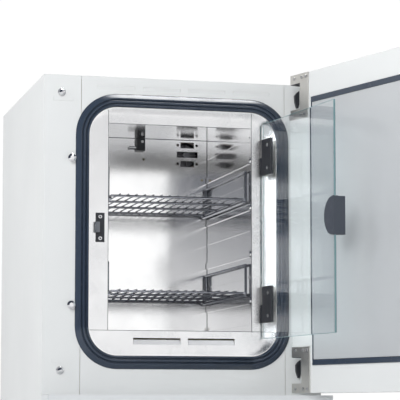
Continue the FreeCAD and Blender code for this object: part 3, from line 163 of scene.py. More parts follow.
grain_group, start, end = shared_effect(
    "surface_grain",
    [("Grain Scale", NUMBER, 300.0), ("Cloud Scale", NUMBER, 6.0), ("Stretch", VECTOR, (1, 1, 1))],
    [("Grain", NUMBER), ("Cloud", NUMBER)],
)
place = grain_group.nodes.new("ShaderNodeTexCoord")
stretch = grain_group.nodes.new("ShaderNodeVectorMath")
stretch.operation = "MULTIPLY"
grain_group.links.new(place.outputs["Object"], stretch.inputs[0])
grain_group.links.new(start.outputs["Stretch"], stretch.inputs[1])
for label, source, detail in (("Grain", "Grain Scale", 4.0), ("Cloud", "Cloud Scale", 3.0)):
    noise = grain_group.nodes.new("ShaderNodeTexNoise")
    noise.inputs["Detail"].default_value = detail
    noise.inputs["Roughness"].default_value = 0.6
    spread = stretch.outputs[0] if label == "Grain" else place.outputs["Object"]
    grain_group.links.new(spread, noise.inputs["Vector"])
    grain_group.links.new(start.outputs[source], noise.inputs["Scale"])
    grain_group.links.new(noise.outputs["Fac"], end.inputs[label])

wear_group, start, end = shared_effect(
    "edge_wear",
    [("Amount", NUMBER, 0.5), ("Cloud", NUMBER, 0.5)],
    [("Mask", NUMBER)],
)
rounded = wear_group.nodes.new("ShaderNodeBevel")
rounded.samples = 4
rounded.inputs["Radius"].default_value = 0.0016
surface = wear_group.nodes.new("ShaderNodeNewGeometry")
lean = wear_group.nodes.new("ShaderNodeVectorMath")
lean.operation = "DOT_PRODUCT"
wear_group.links.new(rounded.outputs[0], lean.inputs[0])
wear_group.links.new(surface.outputs["Normal"], lean.inputs[1])
edge = rescale(wear_group, lean.outputs["Value"], (0.995, 0.88))
broken = multiply(wear_group, edge, start.outputs["Cloud"])
worn_mask = multiply(wear_group, broken, start.outputs["Amount"], clamp=True)
wear_group.links.new(worn_mask, end.inputs["Mask"])

dust_group, start, end = shared_effect(
    "settled_dust",
    [("Amount", NUMBER, 0.1), ("Cloud", NUMBER, 0.5)],
    [("Mask", NUMBER)],
)
surface = dust_group.nodes.new("ShaderNodeNewGeometry")
upward = dust_group.nodes.new("ShaderNodeSeparateXYZ")
dust_group.links.new(surface.outputs["Normal"], upward.inputs[0])
flat = rescale(dust_group, upward.outputs["Z"], (0.6, 1.0))
patchy = multiply(dust_group, flat, start.outputs["Cloud"])
dust_mask = multiply(dust_group, patchy, start.outputs["Amount"], clamp=True)
dust_group.links.new(dust_mask, end.inputs["Mask"])


def blend_colour(tree, factor, first, second):
    """A colour mix; each side is a colour or an output."""
    mix = tree.nodes.new("ShaderNodeMix")
    mix.data_type = "RGBA"
    tree.links.new(factor, mix.inputs["Factor"])
    for side, colour in (("A", first), ("B", second)):
        if isinstance(colour, tuple):
            mix.inputs[side].default_value = (*colour, 1)
        else:
            tree.links.new(colour, mix.inputs[side])
    return mix.outputs["Result"]


DUST_COLOUR = (0.62, 0.60, 0.56)


def make_finish(name, light_tone, dark_tone, roughness, bump, grain_scale=300.0, cloud_scale=6.0,
                stretch=(1, 1, 1), metallic=0.0, worn=(0.5, 0.5, 0.5), wear=0.3, dust=0.12, **extra):
    """A material: two tones in soft clouds, worn edges, settled dust, and grain in its gloss and relief."""
    finish = bpy.data.materials.new(name)
    finish.use_nodes = True
    tree = finish.node_tree
    shader = tree.nodes["Principled BSDF"]
    grain = tree.nodes.new("ShaderNodeGroup")
    grain.node_tree = grain_group
    grain.inputs["Grain Scale"].default_value = grain_scale
    grain.inputs["Cloud Scale"].default_value = cloud_scale
    grain.inputs["Stretch"].default_value = stretch
    worn_edge = tree.nodes.new("ShaderNodeGroup")
    worn_edge.node_tree = wear_group
    worn_edge.inputs["Amount"].default_value = wear
    tree.links.new(grain.outputs["Cloud"], worn_edge.inputs["Cloud"])
    dusty = tree.nodes.new("ShaderNodeGroup")
    dusty.node_tree = dust_group
    dusty.inputs["Amount"].default_value = dust
    tree.links.new(grain.outputs["Cloud"], dusty.inputs["Cloud"])
    tone = blend_colour(tree, grain.outputs["Cloud"], light_tone, dark_tone)
    tone = blend_colour(tree, worn_edge.outputs["Mask"], tone, worn)
    tone = blend_colour(tree, dusty.outputs["Mask"], tone, DUST_COLOUR)
    tree.links.new(tone, shader.inputs["Base Color"])
    both = tree.nodes.new("ShaderNodeMath")
    both.operation = "MULTIPLY_ADD"
    both.inputs[1].default_value = 0.4
    halved = tree.nodes.new("ShaderNodeMath")
    halved.operation = "MULTIPLY"
    halved.inputs[1].default_value = 0.6
    tree.links.new(grain.outputs["Cloud"], halved.inputs[0])
    tree.links.new(grain.outputs["Grain"], both.inputs[0])
    tree.links.new(halved.outputs[0], both.inputs[2])
    gloss = rescale(tree, both.outputs[0], (0.3, 0.7), roughness)
    tree.links.new(gloss, shader.inputs["Roughness"])
    relief = tree.nodes.new("ShaderNodeBump")
    relief.inputs["Strength"].default_value = bump[0]
    relief.inputs["Distance"].default_value = bump[1]
    tree.links.new(grain.outputs["Grain"], relief.inputs["Height"])
    tree.links.new(relief.outputs[0], shader.inputs["Normal"])
    shader.inputs["Metallic"].default_value = metallic
    for socket, number in extra.items():
        shader.inputs[socket.replace("_", " ")].default_value = number
    return finish


def dress(finish, *names):
    """Gives CAD pieces their finish."""
    for name in names:
        for slot in nodes[name].material_slots:
            slot.material = finish


powder_coat = make_finish(
    "powder_coat", (0.745, 0.76, 0.755), (0.70, 0.715, 0.712), (0.30, 0.46), (0.10, 0.0004),
    grain_scale=420.0, cloud_scale=3.0, worn=(0.60, 0.61, 0.61), wear=0.5, dust=0.10)
dress(powder_coat, "outer_casing", "front_left_post", "front_right_post", "front_top_strip",
      "front_bottom_strip", "back_panel", "blanking_strips", "door_hinge_arms", "door_shell")


def add_piece(name, shape, finish, body):
    """Turns a bmesh into a piece that rides on a body and wears the given finish."""
    bmesh.ops.remove_doubles(shape, verts=shape.verts, dist=0.000002)
    bmesh.ops.recalc_face_normals(shape, faces=shape.faces)
    mesh = bpy.data.meshes.new(name)
    shape.to_mesh(mesh)
    shape.free()
    mesh.materials.append(finish)
    piece = bpy.data.objects.new(name, mesh)
    bpy.context.scene.collection.objects.link(piece)
    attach(piece, body)
    return piece


def round_over(shape, edges, reach, steps):
    """Rounds edges of a shape over a reach, in a number of steps."""
    bmesh.ops.bevel(shape, geom=edges, offset=reach, offset_type="OFFSET", affect="EDGES", segments=steps,
                    profile=0.5, material=-1)


def push(shape, grown, way):
    """Moves the new corners of an extrusion by a distance."""
    corners = [g for g in grown if isinstance(g, bmesh.types.BMVert)]
    bmesh.ops.translate(shape, verts=corners, vec=way)


def add_block(shape, centre, size, turn=Matrix()):
    """A block round a centre, in a frame that may be turned."""
    put = turn @ Matrix.Translation(centre) @ Matrix.Diagonal((*size, 1))
    return bmesh.ops.create_cube(shape, size=1, matrix=put)


def add_screw(shape, place, facing, radius, height):
    """A pan head with a rounded rim and a round key recess, set on a surface."""
    turn = Vector(facing).to_track_quat("Z", "Y").to_matrix().to_4x4()
    put = Matrix.Translation(place) @ turn
    made = bmesh.ops.create_cone(shape, cap_ends=True, segments=18, radius1=radius, radius2=radius,
                                 depth=height, matrix=put @ Matrix.Translation((0, 0, height / 2)))
    axis = Vector(facing).normalized()
    top = max(v.co.dot(axis) for v in made["verts"])
    touching = {f for v in made["verts"] for f in v.link_faces}
    crown = next(f for f in touching if all(v.co.dot(axis) > top - 1e-6 for v in f.verts))
    round_over(shape, list(crown.edges), radius * 0.22, 2)
    shape.faces.ensure_lookup_table()
    facing_out = [f for f in shape.faces if f.is_valid and abs(f.normal.dot(axis)) > 0.999
                  and (f.calc_center_median() - Vector(place)).length < radius * 1.5]
    face = max(facing_out, key=lambda f: f.calc_center_median().dot(axis))
    bmesh.ops.inset_region(shape, faces=[face], thickness=radius * 0.34, use_even_offset=True)
    push(shape, bmesh.ops.extrude_face_region(shape, geom=[face])["geom"], -axis * height * 0.55)
    bmesh.ops.delete(shape, geom=[face], context="FACES")


plated = make_finish(
    "plated_steel", (0.62, 0.62, 0.62), (0.50, 0.50, 0.51), (0.20, 0.38), (0.15, 0.0002),
    grain_scale=900.0, cloud_scale=40.0, metallic=1.0, worn=(0.72, 0.72, 0.72), wear=0.6, dust=0.1)

low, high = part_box("back_panel")
screws = bmesh.new()
for x in (low.x + 0.02, -0.12, 0.12, high.x - 0.02):
    for z in (low.z + 0.02, high.z - 0.02):
        add_screw(screws, (x, high.y, z), (0, 1, 0), 0.0045, 0.0022)
for x in (low.x + 0.02, high.x - 0.02):
    for z in (0.30, 0.56, 0.82):
        add_screw(screws, (x, high.y, z), (0, 1, 0), 0.0045, 0.0022)
add_piece("back_screws", screws, plated, "cabinet")


# Pan and feet: a bent galvanised pan closes the base, with four rubber-padded levelling feet screwed
# through its corners.
galvanised = make_finish(
    "galvanised_sheet", (0.55, 0.56, 0.57), (0.42, 0.43, 0.45), (0.32, 0.52), (0.12, 0.0002),
    grain_scale=160.0, cloud_scale=45.0, metallic=1.0, worn=(0.6, 0.6, 0.6), wear=0.4, dust=0.2)
dress(galvanised, "base_pan")
foot_rubber = make_finish(
    "foot_rubber", (0.028, 0.028, 0.030), (0.020, 0.020, 0.022), (0.55, 0.75), (0.25, 0.0004),
    grain_scale=700.0, cloud_scale=30.0, worn=(0.09, 0.09, 0.09), wear=0.7, dust=0.35)
dress(foot_rubber, "feet")


# Control housing: a coated sheet box under the door with a tinted display window, three soft keys and a
# rocker switch. Seven-bar figures glow on the window, and each key has a pale printed mark.
fascia_coat = make_finish(
    "fascia_coat", (0.70, 0.72, 0.73), (0.66, 0.68, 0.69), (0.34, 0.5), (0.12, 0.0004),
    grain_scale=420.0, cloud_scale=4.0, worn=(0.56, 0.57, 0.58), wear=0.5, dust=0.10)
dress(fascia_coat, "control_fascia")
tinted_window = make_finish(
    "tinted_window", (0.012, 0.016, 0.020), (0.016, 0.020, 0.026), (0.05, 0.12), (0.02, 0.0001),
    grain_scale=60.0, cloud_scale=12.0, worn=(0.05, 0.05, 0.06), wear=0.3, dust=0.05, Coat_Weight=0.6)
dress(tinted_window, "display_window")
soft_key = make_finish(
    "soft_key", (0.24, 0.30, 0.38), (0.20, 0.26, 0.33), (0.5, 0.66), (0.2, 0.0003),
    grain_scale=900.0, cloud_scale=40.0, worn=(0.34, 0.39, 0.45), wear=0.6, dust=0.1)
dress(soft_key, "key_up", "key_down", "key_set")
rocker_plastic = make_finish(
    "rocker_plastic", (0.014, 0.10, 0.05), (0.010, 0.08, 0.04), (0.16, 0.3), (0.05, 0.0002),
    grain_scale=500.0, cloud_scale=40.0, worn=(0.06, 0.16, 0.11), wear=0.5, dust=0.08)
dress(rocker_plastic, "power_switch")

glowing = bpy.data.materials.new("glowing_figures")
glowing.use_nodes = True
figure = glowing.node_tree.nodes["Principled BSDF"]
figure.inputs["Base Color"].default_value = (0.25, 0.02, 0.01, 1)
figure.inputs["Emission Color"].default_value = (1.0, 0.16, 0.05, 1)
figure.inputs["Emission Strength"].default_value = 2.2
figure.inputs["Roughness"].default_value = 0.4

low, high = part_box("display_window")
bars = bmesh.new()
# Each bar's place, in figure widths across and heights up, and whether it stands upright.
BAR_PLACES = {"a": (0, 1, 0), "b": (0.5, 0.5, 1), "c": (0.5, -0.5, 1), "d": (0, -1, 0),
              "e": (-0.5, -0.5, 1), "f": (-0.5, 0.5, 1), "g": (0, 0, 0)}
figure_wide, figure_tall, figure_step = 0.014, 0.012, 0.024
bar_wide, bar_deep, point_gap = 0.0022, 0.0002, 0.006
figures_start, figures_face, figures_middle = low.x + 0.048, low.y - 0.00005, (low.z + high.z) / 2
for at, lit in enumerate(("abcdg", "abc", "abcdef")):
    across_at = figures_start + at * figure_step + (point_gap if at == 2 else 0)
    centre = Vector((across_at, figures_face, figures_middle))
    for bar in lit:
        across, up, upright = BAR_PLACES[bar]
        if upright:
            size = (bar_wide, bar_deep, figure_tall * 0.86)
        else:
            size = (figure_wide * 0.78, bar_deep, bar_wide)
        made = add_block(bars, centre + Vector((across * figure_wide, 0, up * figure_tall)), size)
        touching = {e for v in made["verts"] for e in v.link_edges}
        ends = [e for e in touching if abs(e.verts[0].co.y - e.verts[1].co.y) > 1e-5]
        round_over(bars, ends, 0.0008, 1)
point = Vector((figures_start + 0.0395, figures_face, figures_middle - figure_tall))
bmesh.ops.create_cone(bars, cap_ends=True, segments=12, radius1=0.0014, radius2=0.0014, depth=bar_deep,
                      matrix=Matrix.Translation(point) @ Matrix.Rotation(math.pi / 2, 4, "X"))
add_piece("display_figures", bars, glowing, "cabinet")

printed = make_finish(
    "printed_mark", (0.80, 0.82, 0.84), (0.74, 0.76, 0.78), (0.45, 0.6), (0.05, 0.0001),
    grain_scale=900.0, cloud_scale=60.0, wear=0.2, dust=0.0)
for name, corners, tilt in (("key_up", 3, 90), ("key_down", 3, -90), ("key_set", 20, 0)):
    low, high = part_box(name)
    centre = Vector(((low.x + high.x) / 2, low.y - 0.0001, (low.z + high.z) / 2))
    mark = bmesh.new()
    bmesh.ops.create_cone(mark, cap_ends=True, segments=corners, radius1=0.0042, radius2=0.0038, depth=0.0004,
                          matrix=Matrix.Translation(centre) @ Matrix.Rotation(math.pi / 2, 4, "X")
                          @ Matrix.Rotation(math.radians(-tilt - 90 if corners == 3 else 0), 4, "Z"))
    add_piece(name + "_mark", mark, printed, name)


# Electrics in the base: the display board on posts, a folded power supply case and the moulded mains inlet
# in the back.
solder_mask = make_finish(
    "solder_mask", (0.010, 0.11, 0.05), (0.008, 0.08, 0.035), (0.25, 0.4), (0.3, 0.0004),
    grain_scale=260.0, cloud_scale=60.0, worn=(0.5, 0.42, 0.2), wear=0.5, dust=0.15)
dress(solder_mask, "control_board")
supply_sheet = make_finish(
    "supply_sheet", (0.58, 0.59, 0.60), (0.5, 0.51, 0.52), (0.3, 0.46), (0.15, 0.0002),
    grain_scale=300.0, cloud_scale=30.0, stretch=(1, 20, 1), metallic=1.0, wear=0.4, dust=0.2)
dress(supply_sheet, "power_supply")
moulded_black = make_finish(
    "moulded_black", (0.022, 0.022, 0.024), (0.016, 0.016, 0.018), (0.4, 0.58), (0.2, 0.0003),
    grain_scale=900.0, cloud_scale=40.0, worn=(0.08, 0.08, 0.085), wear=0.6, dust=0.15)
dress(moulded_black, "mains_inlet")


# Chamber: five sheets of stainless steel polished almost to a mirror, with pressed bands on both sides
# and a pressed fan grille in the back. Long fine lines remain from the polishing, with faint wipe marks.
polished = make_finish(
    "polished_steel", (0.97, 0.97, 0.972), (0.93, 0.93, 0.935), (0.09, 0.19), (0.03, 0.0001),
    grain_scale=160.0, cloud_scale=9.0, stretch=(1, 1, 14), metallic=1.0, worn=(0.86, 0.86, 0.87), wear=0.6,
    dust=0.04)
dress(polished, "chamber_back_wall", "chamber_left_wall", "chamber_right_wall", "chamber_ceiling",
      "chamber_floor", "flange_collar")
flange_steel = make_finish(
    "flange_steel", (0.94, 0.94, 0.945), (0.90, 0.90, 0.905), (0.20, 0.32), (0.04, 0.00015),
    grain_scale=160.0, cloud_scale=9.0, stretch=(1, 1, 14), metallic=1.0, worn=(0.86, 0.86, 0.87), wear=0.5,
    dust=0.04)
dress(flange_steel, "flange_left", "flange_right", "flange_top", "flange_bottom")


# Louvre faces: under each slot of the two pressed louvres in the lower flange strip, a lightly brushed slope
# in a pale, mostly matt copy of the flange steel: painted light on the slope.
louvre_painted_light = make_finish(
    "louvre_painted_light", (0.86, 0.86, 0.87), (0.78, 0.78, 0.79), (0.40, 0.55), (0.08, 0.0002),
    grain_scale=220.0, cloud_scale=20.0, stretch=(1, 12, 12), metallic=0.25, worn=(0.9, 0.9, 0.9), wear=0.5,
    dust=0.04)
slopes = bmesh.new()
for x0, x1 in ((-0.1255, -0.0005), (0.0205, 0.1455)):
    edge_points = ((-0.31205, 0.4012), (-0.3112, 0.4040), (-0.3093, 0.4085), (-0.30725, 0.4136))
    run = [slopes.verts.new((x0, y, z)) for y, z in edge_points]
    line = [slopes.edges.new(pair) for pair in zip(run, run[1:])]
    grown = bmesh.ops.extrude_edge_only(slopes, edges=line)["geom"]
    push(slopes, grown, (x1 - x0, 0, 0))
bmesh.ops.solidify(slopes, geom=list(slopes.faces), thickness=0.0003)
add_piece("louvre_faces", slopes, louvre_painted_light, "cabinet")


# Joints of the flange plates: hairline gaps beside and under the mouth, filled with dark strips that are
# painted shadow in the gaps, and thin dark rods along the chamber's inside corners that are painted corner
# shade.
gap_shade_finish = make_finish(
    "painted_gap_shade", (0.035, 0.038, 0.045), (0.025, 0.028, 0.034), (0.35, 0.5), (0.1, 0.0002),
    grain_scale=600.0, cloud_scale=40.0, wear=0.2, dust=0.0)
mouth_side, mouth_low = 0.193, 0.437
flange_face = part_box("flange_left")[0].y
collar_low, collar_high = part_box("flange_collar")
joints = bmesh.new()
half_gap = 0.0007
side_top = collar_high.z - 0.003
for x0, x1, z0, z1 in (
        (-mouth_side - half_gap, -mouth_side + half_gap, mouth_low, side_top),
        (mouth_side - half_gap, mouth_side + half_gap, mouth_low, side_top),
        (collar_low.x + 0.004, collar_high.x - 0.004, mouth_low - half_gap, mouth_low + half_gap),
        (-mouth_side, mouth_side, 0.975 - 0.0006, 0.975 + 0.0006)):
    centre = Vector(((x0 + x1) / 2, flange_face + 0.0005, (z0 + z1) / 2))
    made = add_block(joints, centre, (x1 - x0, 0.0013, z1 - z0))
    rims = list({e for v in made["verts"] for e in v.link_edges})
    round_over(joints, rims, 0.00025, 2)
add_piece("flange_joint_shadows", joints, gap_shade_finish, "cabinet")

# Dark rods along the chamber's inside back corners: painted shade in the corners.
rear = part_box("chamber_back_wall")[0].y
floor_low, ceiling_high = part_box("chamber_floor")[1].z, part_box("chamber_ceiling")[0].z
corner_shade_rods = bmesh.new()
corner_shade_radius = 0.0011
for start, run_to in (((-mouth_side, rear, ceiling_high), (mouth_side, rear, ceiling_high)),
                      ((-mouth_side, rear, floor_low), (mouth_side, rear, floor_low)),
                      ((mouth_side, rear, floor_low), (mouth_side, rear, ceiling_high)),
                      ((-mouth_side, rear, floor_low), (-mouth_side, rear, ceiling_high))):
    start, run_to = Vector(start), Vector(run_to)
    along = run_to - start
    turn = along.to_track_quat("Z", "Y").to_matrix().to_4x4()
    bmesh.ops.create_cone(corner_shade_rods, cap_ends=True, segments=10, radius1=corner_shade_radius, radius2=corner_shade_radius, depth=along.length,
                          matrix=Matrix.Translation((start + run_to) / 2) @ turn)
add_piece("painted_corner_shade", corner_shade_rods, gap_shade_finish, "cabinet")


# Chamber seal: an extruded black rubber profile bent round the mouth, with a flat outer wing, a round
# bead, a deep groove and a soft lip that the outer door presses. It is clipped behind the front sheets.
seal_rubber = make_finish(
    "seal_rubber", (0.040, 0.055, 0.082), (0.028, 0.040, 0.062), (0.16, 0.30), (0.06, 0.0002),
    grain_scale=700.0, cloud_scale=22.0, worn=(0.06, 0.07, 0.09), wear=0.5, dust=0.10)


def faces_in(grown):
    """The faces among a bmesh operator's results."""
    return [g for g in grown if isinstance(g, bmesh.types.BMFace) and g.is_valid]


low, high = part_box("chamber_seal")
bend = 0.110
face = -0.350
# The profile's corners: how far in from the seal's outline, and how far it stands out of the front.
seal_profile = [(0.0, 0.0), (0.0006, 0.0024), (0.0125, 0.0112), (0.0148, 0.0112), (0.0158, 0.0060),
                (0.0178, 0.0060), (0.0190, 0.0110), (0.0208, 0.0122), (0.0240, 0.0122), (0.0250, 0.0106),
                (0.0256, 0.0060), (0.0280, 0.0060), (0.0288, 0.0112), (0.0312, 0.0122), (0.0338, 0.0104),
                (0.0348, 0.0070), (0.0350, -0.0130), (0.0182, -0.0130), (0.0182, 0.0)]
rubber = bmesh.new()
ring = [rubber.verts.new((0, face - rise, high.z - inset)) for inset, rise in seal_profile]
profile = rubber.faces.new(ring)
run = [profile, *profile.edges, *profile.verts]
half_wide = high.x - bend
half_tall = (high.z - low.z) / 2 - bend
middle = (high.z + low.z) / 2
for across, up, travel in ((1, 1, (half_wide, 0, 0)), (1, -1, (0, 0, -2 * half_tall)),
                           (-1, -1, (-2 * half_wide, 0, 0)), (-1, 1, (0, 0, 2 * half_tall))):
    grown = bmesh.ops.extrude_face_region(rubber, geom=faces_in(run))["geom"]
    push(rubber, grown, travel)
    if (across, up) == (1, 1):
        bmesh.ops.delete(rubber, geom=[profile], context="FACES_ONLY")
    turned = bmesh.ops.spin(rubber, geom=faces_in(grown), axis=(0, 1, 0), angle=math.radians(90), steps=14,
                            cent=(across * half_wide, 0, middle + up * half_tall), use_duplicate=False)
    bmesh.ops.delete(rubber, geom=faces_in(grown), context="FACES_ONLY")
    run = turned["geom_last"]
grown = bmesh.ops.extrude_face_region(rubber, geom=faces_in(run))["geom"]
push(rubber, grown, (half_wide, 0, 0))
bmesh.ops.delete(rubber, geom=faces_in([*run, *grown]), context="FACES_ONLY")
seal = add_piece("ribbed_seal", rubber, seal_rubber, "cabinet")
soften = seal.modifiers.new("soft_ribs", "BEVEL")
soften.width = 0.0011
soften.segments = 3
soften.limit_method = "ANGLE"
soften.angle_limit = math.radians(22)
seal.data.shade_smooth()
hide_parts("chamber_seal")


# Insulation: blocks of yellowish mineral wool packed round the chamber and inside the outer door. The
# sheets hide it.
wool = make_finish(
    "mineral_wool", (0.62, 0.54, 0.30), (0.48, 0.40, 0.20), (0.85, 1.0), (1.0, 0.003),
    grain_scale=240.0, cloud_scale=30.0, stretch=(1, 1, 4), worn=(0.7, 0.62, 0.4), wear=0.4, dust=0.2,
    Sheen_Weight=0.3)
dress(wool, "insulation_sides", "insulation_top", "insulation_floor", "insulation_back", "door_insulation")


# Fan and heater: a pressed aluminium housing behind the grille holds a bladed wheel on a motor, inside a
# ring of heat-tinted heating tube.
pressed_alloy = make_finish(
    "pressed_alloy", (0.16, 0.16, 0.17), (0.10, 0.10, 0.11), (0.3, 0.45), (0.12, 0.0002),
    grain_scale=400.0, cloud_scale=30.0, metallic=1.0, worn=(0.7, 0.7, 0.7), wear=0.5, dust=0.1)
dress(pressed_alloy, "fan_impeller")
blackened = make_finish(
    "blackened_housing", (0.012, 0.013, 0.016), (0.008, 0.009, 0.012), (0.5, 0.7), (0.12, 0.0002),
    grain_scale=400.0, cloud_scale=30.0, worn=(0.05, 0.05, 0.05), wear=0.5, dust=0.1)
dress(blackened, "fan_housing")
motor_enamel = make_finish(
    "motor_enamel", (0.035, 0.037, 0.040), (0.025, 0.027, 0.030), (0.35, 0.55), (0.3, 0.0004),
    grain_scale=300.0, cloud_scale=30.0, worn=(0.3, 0.3, 0.3), wear=0.6, dust=0.2)
dress(motor_enamel, "fan_motor")
heat_tint = make_finish(
    "heat_tint", (0.34, 0.27, 0.20), (0.22, 0.19, 0.22), (0.3, 0.5), (0.15, 0.0003),
    grain_scale=300.0, cloud_scale=60.0, metallic=1.0, worn=(0.5, 0.45, 0.4), wear=0.3, dust=0.0)
dress(heat_tint, "ring_heater")


# Temperature sensor: a black block screwed to the back wall under the ceiling, with a drawn steel probe
# tube pushed into its side.
matt_black = make_finish(
    "matt_black", (0.030, 0.032, 0.038), (0.022, 0.024, 0.030), (0.38, 0.55), (0.15, 0.0003),
    grain_scale=800.0, cloud_scale=40.0, worn=(0.12, 0.12, 0.13), wear=0.6, dust=0.08)
dress(matt_black, "sensor_bracket")
drawn_tube = make_finish(
    "drawn_tube", (0.66, 0.66, 0.66), (0.56, 0.56, 0.57), (0.18, 0.3), (0.1, 0.0001),
    grain_scale=600.0, cloud_scale=60.0, stretch=(0.05, 1, 1), metallic=1.0, wear=0.4, dust=0.0)
dress(drawn_tube, "sensor_probe")
low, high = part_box("sensor_bracket")
screw = bmesh.new()
add_screw(screw, ((low.x + high.x) / 2 + 0.003, low.y, high.z - 0.010), (0, -1, 0), 0.0042, 0.0030)
add_piece("sensor_screw", screw, plated, "cabinet")


# Shelf hoops and wire shelves: electropolished stainless rod, bent and spot-welded; the shelves slide forward
# on the hoops' lower bars. The rod's base tone is darkened, painted shade standing in for the dark
# reflections in the rods.
rod_steel_painted_shade = make_finish(
    "rod_steel_painted_shade", (0.36, 0.37, 0.40), (0.26, 0.27, 0.30), (0.07, 0.16), (0.05, 0.0001),
    grain_scale=700.0, cloud_scale=50.0, metallic=1.0, worn=(0.8, 0.8, 0.8), wear=0.3, dust=0.03)
dress(rod_steel_painted_shade, "shelf_runners", "shelf_upper", "shelf_lower")


# Front fittings: two mushroom studs that the latch bar hooks over, two domed plugs in the spare hinge holes,
# the hinge arms' screws, and a dark block on the post behind each hinge pocket.
chrome = make_finish(
    "bright_chrome", (0.80, 0.80, 0.81), (0.70, 0.70, 0.72), (0.06, 0.16), (0.03, 0.0001),
    grain_scale=500.0, cloud_scale=60.0, metallic=1.0, worn=(0.85, 0.85, 0.85), wear=0.3, dust=0.05)
dress(chrome, "catch_studs", "corner_studs")
plugs = bmesh.new()
plug_profile = ((0.0104, 0.0), (0.0106, 0.0022), (0.0098, 0.0034), (0.0088, 0.0034), (0.0082, 0.0028),
                (0.0078, 0.0050), (0.0066, 0.0064), (0.0046, 0.0075), (0.0024, 0.0081), (0.0, 0.0083))
for x, z in ((-0.324, 0.332), (-0.324, 1.044)):
    rim = [plugs.verts.new((x + reach, -0.350 - rise, z)) for reach, rise in plug_profile]
    line = [plugs.edges.new(pair) for pair in zip(rim, rim[1:])]
    bmesh.ops.spin(plugs, geom=rim + line, cent=(x, 0, z), axis=(0, 1, 0), angle=math.radians(360), steps=32,
                   use_merge=True, use_duplicate=False)
bmesh.ops.remove_doubles(plugs, verts=plugs.verts, dist=0.00001)
bmesh.ops.holes_fill(plugs, edges=[e for e in plugs.edges if e.is_boundary], sides=64)
caps = add_piece("domed_plugs", plugs, chrome, "cabinet")
caps.data.shade_smooth()
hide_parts("corner_studs")
screws = bmesh.new()
low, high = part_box("door_hinge_arms")
for z in (low.z + 0.025, low.z + 0.060, high.z - 0.025, high.z - 0.060):
    for x in (low.x + 0.007, high.x - 0.008):
        add_screw(screws, (x, -0.354, z), (0, -1, 0), 0.004, 0.0022)
add_piece("hinge_arm_screws", screws, plated, "cabinet")
# A dark block on the post behind each hinge pocket.
pocket_blocks = bmesh.new()
for bottom in (0.304, 1.016):
    outline = [(0.3118, 0.0585), (0.3050, 0.0530), (0.2990, 0.0450), (0.2996, 0.0290), (0.3045, 0.0120),
               (0.3090, 0.0120), (0.3118, 0.0220)]
    face = pocket_blocks.faces.new([pocket_blocks.verts.new((x, -0.3502, bottom + up)) for x, up in outline])
    grown = bmesh.ops.extrude_face_region(pocket_blocks, geom=[face])["geom"]
    push(pocket_blocks, grown, (0, -0.0108, 0))
rims = [e for e in pocket_blocks.edges if abs(e.verts[0].co.y - e.verts[1].co.y) < 1e-6]
round_over(pocket_blocks, rims, 0.0012, 3)
black_plastic_and_painted_shadow = make_finish(
    "black_plastic_and_painted_shadow", (0.020, 0.022, 0.028), (0.014, 0.016, 0.020), (0.35, 0.5), (0.15, 0.0003),
    grain_scale=800.0, cloud_scale=40.0, worn=(0.08, 0.08, 0.09), wear=0.6, dust=0.08)
add_piece("hinge_pocket_blocks", pocket_blocks, black_plastic_and_painted_shadow, "cabinet")


# Outer door: a coated sheet shell filled with wool, closed by a smooth pale panel held by a square black
# rubber gasket; stainless hinge frames are screwed over its two hinge pockets.
panel_coat = make_finish(
    "panel_coat", (0.49, 0.507, 0.52), (0.455, 0.472, 0.487), (0.10, 0.20), (0.03, 0.0002),
    grain_scale=200.0, cloud_scale=4.0, worn=(0.5, 0.52, 0.54), wear=0.3, dust=0.04, Coat_Weight=0.25)
dress(panel_coat, "door_inner_panel")
dress(seal_rubber, "door_gasket")
satin_steel = make_finish(
    "satin_steel", (0.74, 0.725, 0.69), (0.64, 0.63, 0.60), (0.36, 0.52), (0.12, 0.0002),
    grain_scale=300.0, cloud_scale=25.0, stretch=(12, 12, 1), metallic=1.0, worn=(0.68, 0.67, 0.66), wear=0.6,
    dust=0.06)
dress(satin_steel, "door_hinge_brackets", "glass_hinge_leaves", "latch_guides", "latch_bar")


door_pin = Vector((0.336, -0.418, 0))
door_turn = Matrix.Rotation(math.radians(107), 4, "Z")


def on_open_door(x, y, z):
    """A place on the closed outer door, carried to where the open door has it."""
    return door_turn @ (Vector((x, y, z)) - door_pin) + door_pin


inward = door_turn @ Vector((0, 1, 0))
screws = bmesh.new()
for z in (1.094, 0.995, 0.286, 0.385):
    for x in (0.300, 0.318, 0.352):
        add_screw(screws, on_open_door(x, -0.363, z), inward, 0.0042, 0.0020)
add_piece("hinge_frame_screws", screws, plated, "outer_door")


# Dark plates under the upper ear of each hinge frame, above the fixed arm: painted shadow under the ear.
ear_shadow_plates = bmesh.new()
for ear in (0.3674, 1.0794):
    put = Matrix.Translation(on_open_door(0.3478, -0.3875, ear)) @ door_turn
    bmesh.ops.create_cube(ear_shadow_plates, size=1, matrix=put @ Matrix.Diagonal((0.0420, 0.0480, 0.0011, 1)))
round_over(ear_shadow_plates, list(ear_shadow_plates.edges), 0.0003, 2)
add_piece("hinge_ear_shadows", ear_shadow_plates, black_plastic_and_painted_shadow, "outer_door")


# Latch and handle: a grey moulded lever on the door's face turns a crank that lifts and drops the flat
# latch bar on the inner side.
lever_plastic = make_finish(
    "lever_plastic", (0.060, 0.070, 0.090), (0.050, 0.058, 0.076), (0.38, 0.54), (0.2, 0.0003),
    grain_scale=900.0, cloud_scale=30.0, worn=(0.15, 0.16, 0.18), wear=0.6, dust=0.08)
dress(lever_plastic, "door_handle")


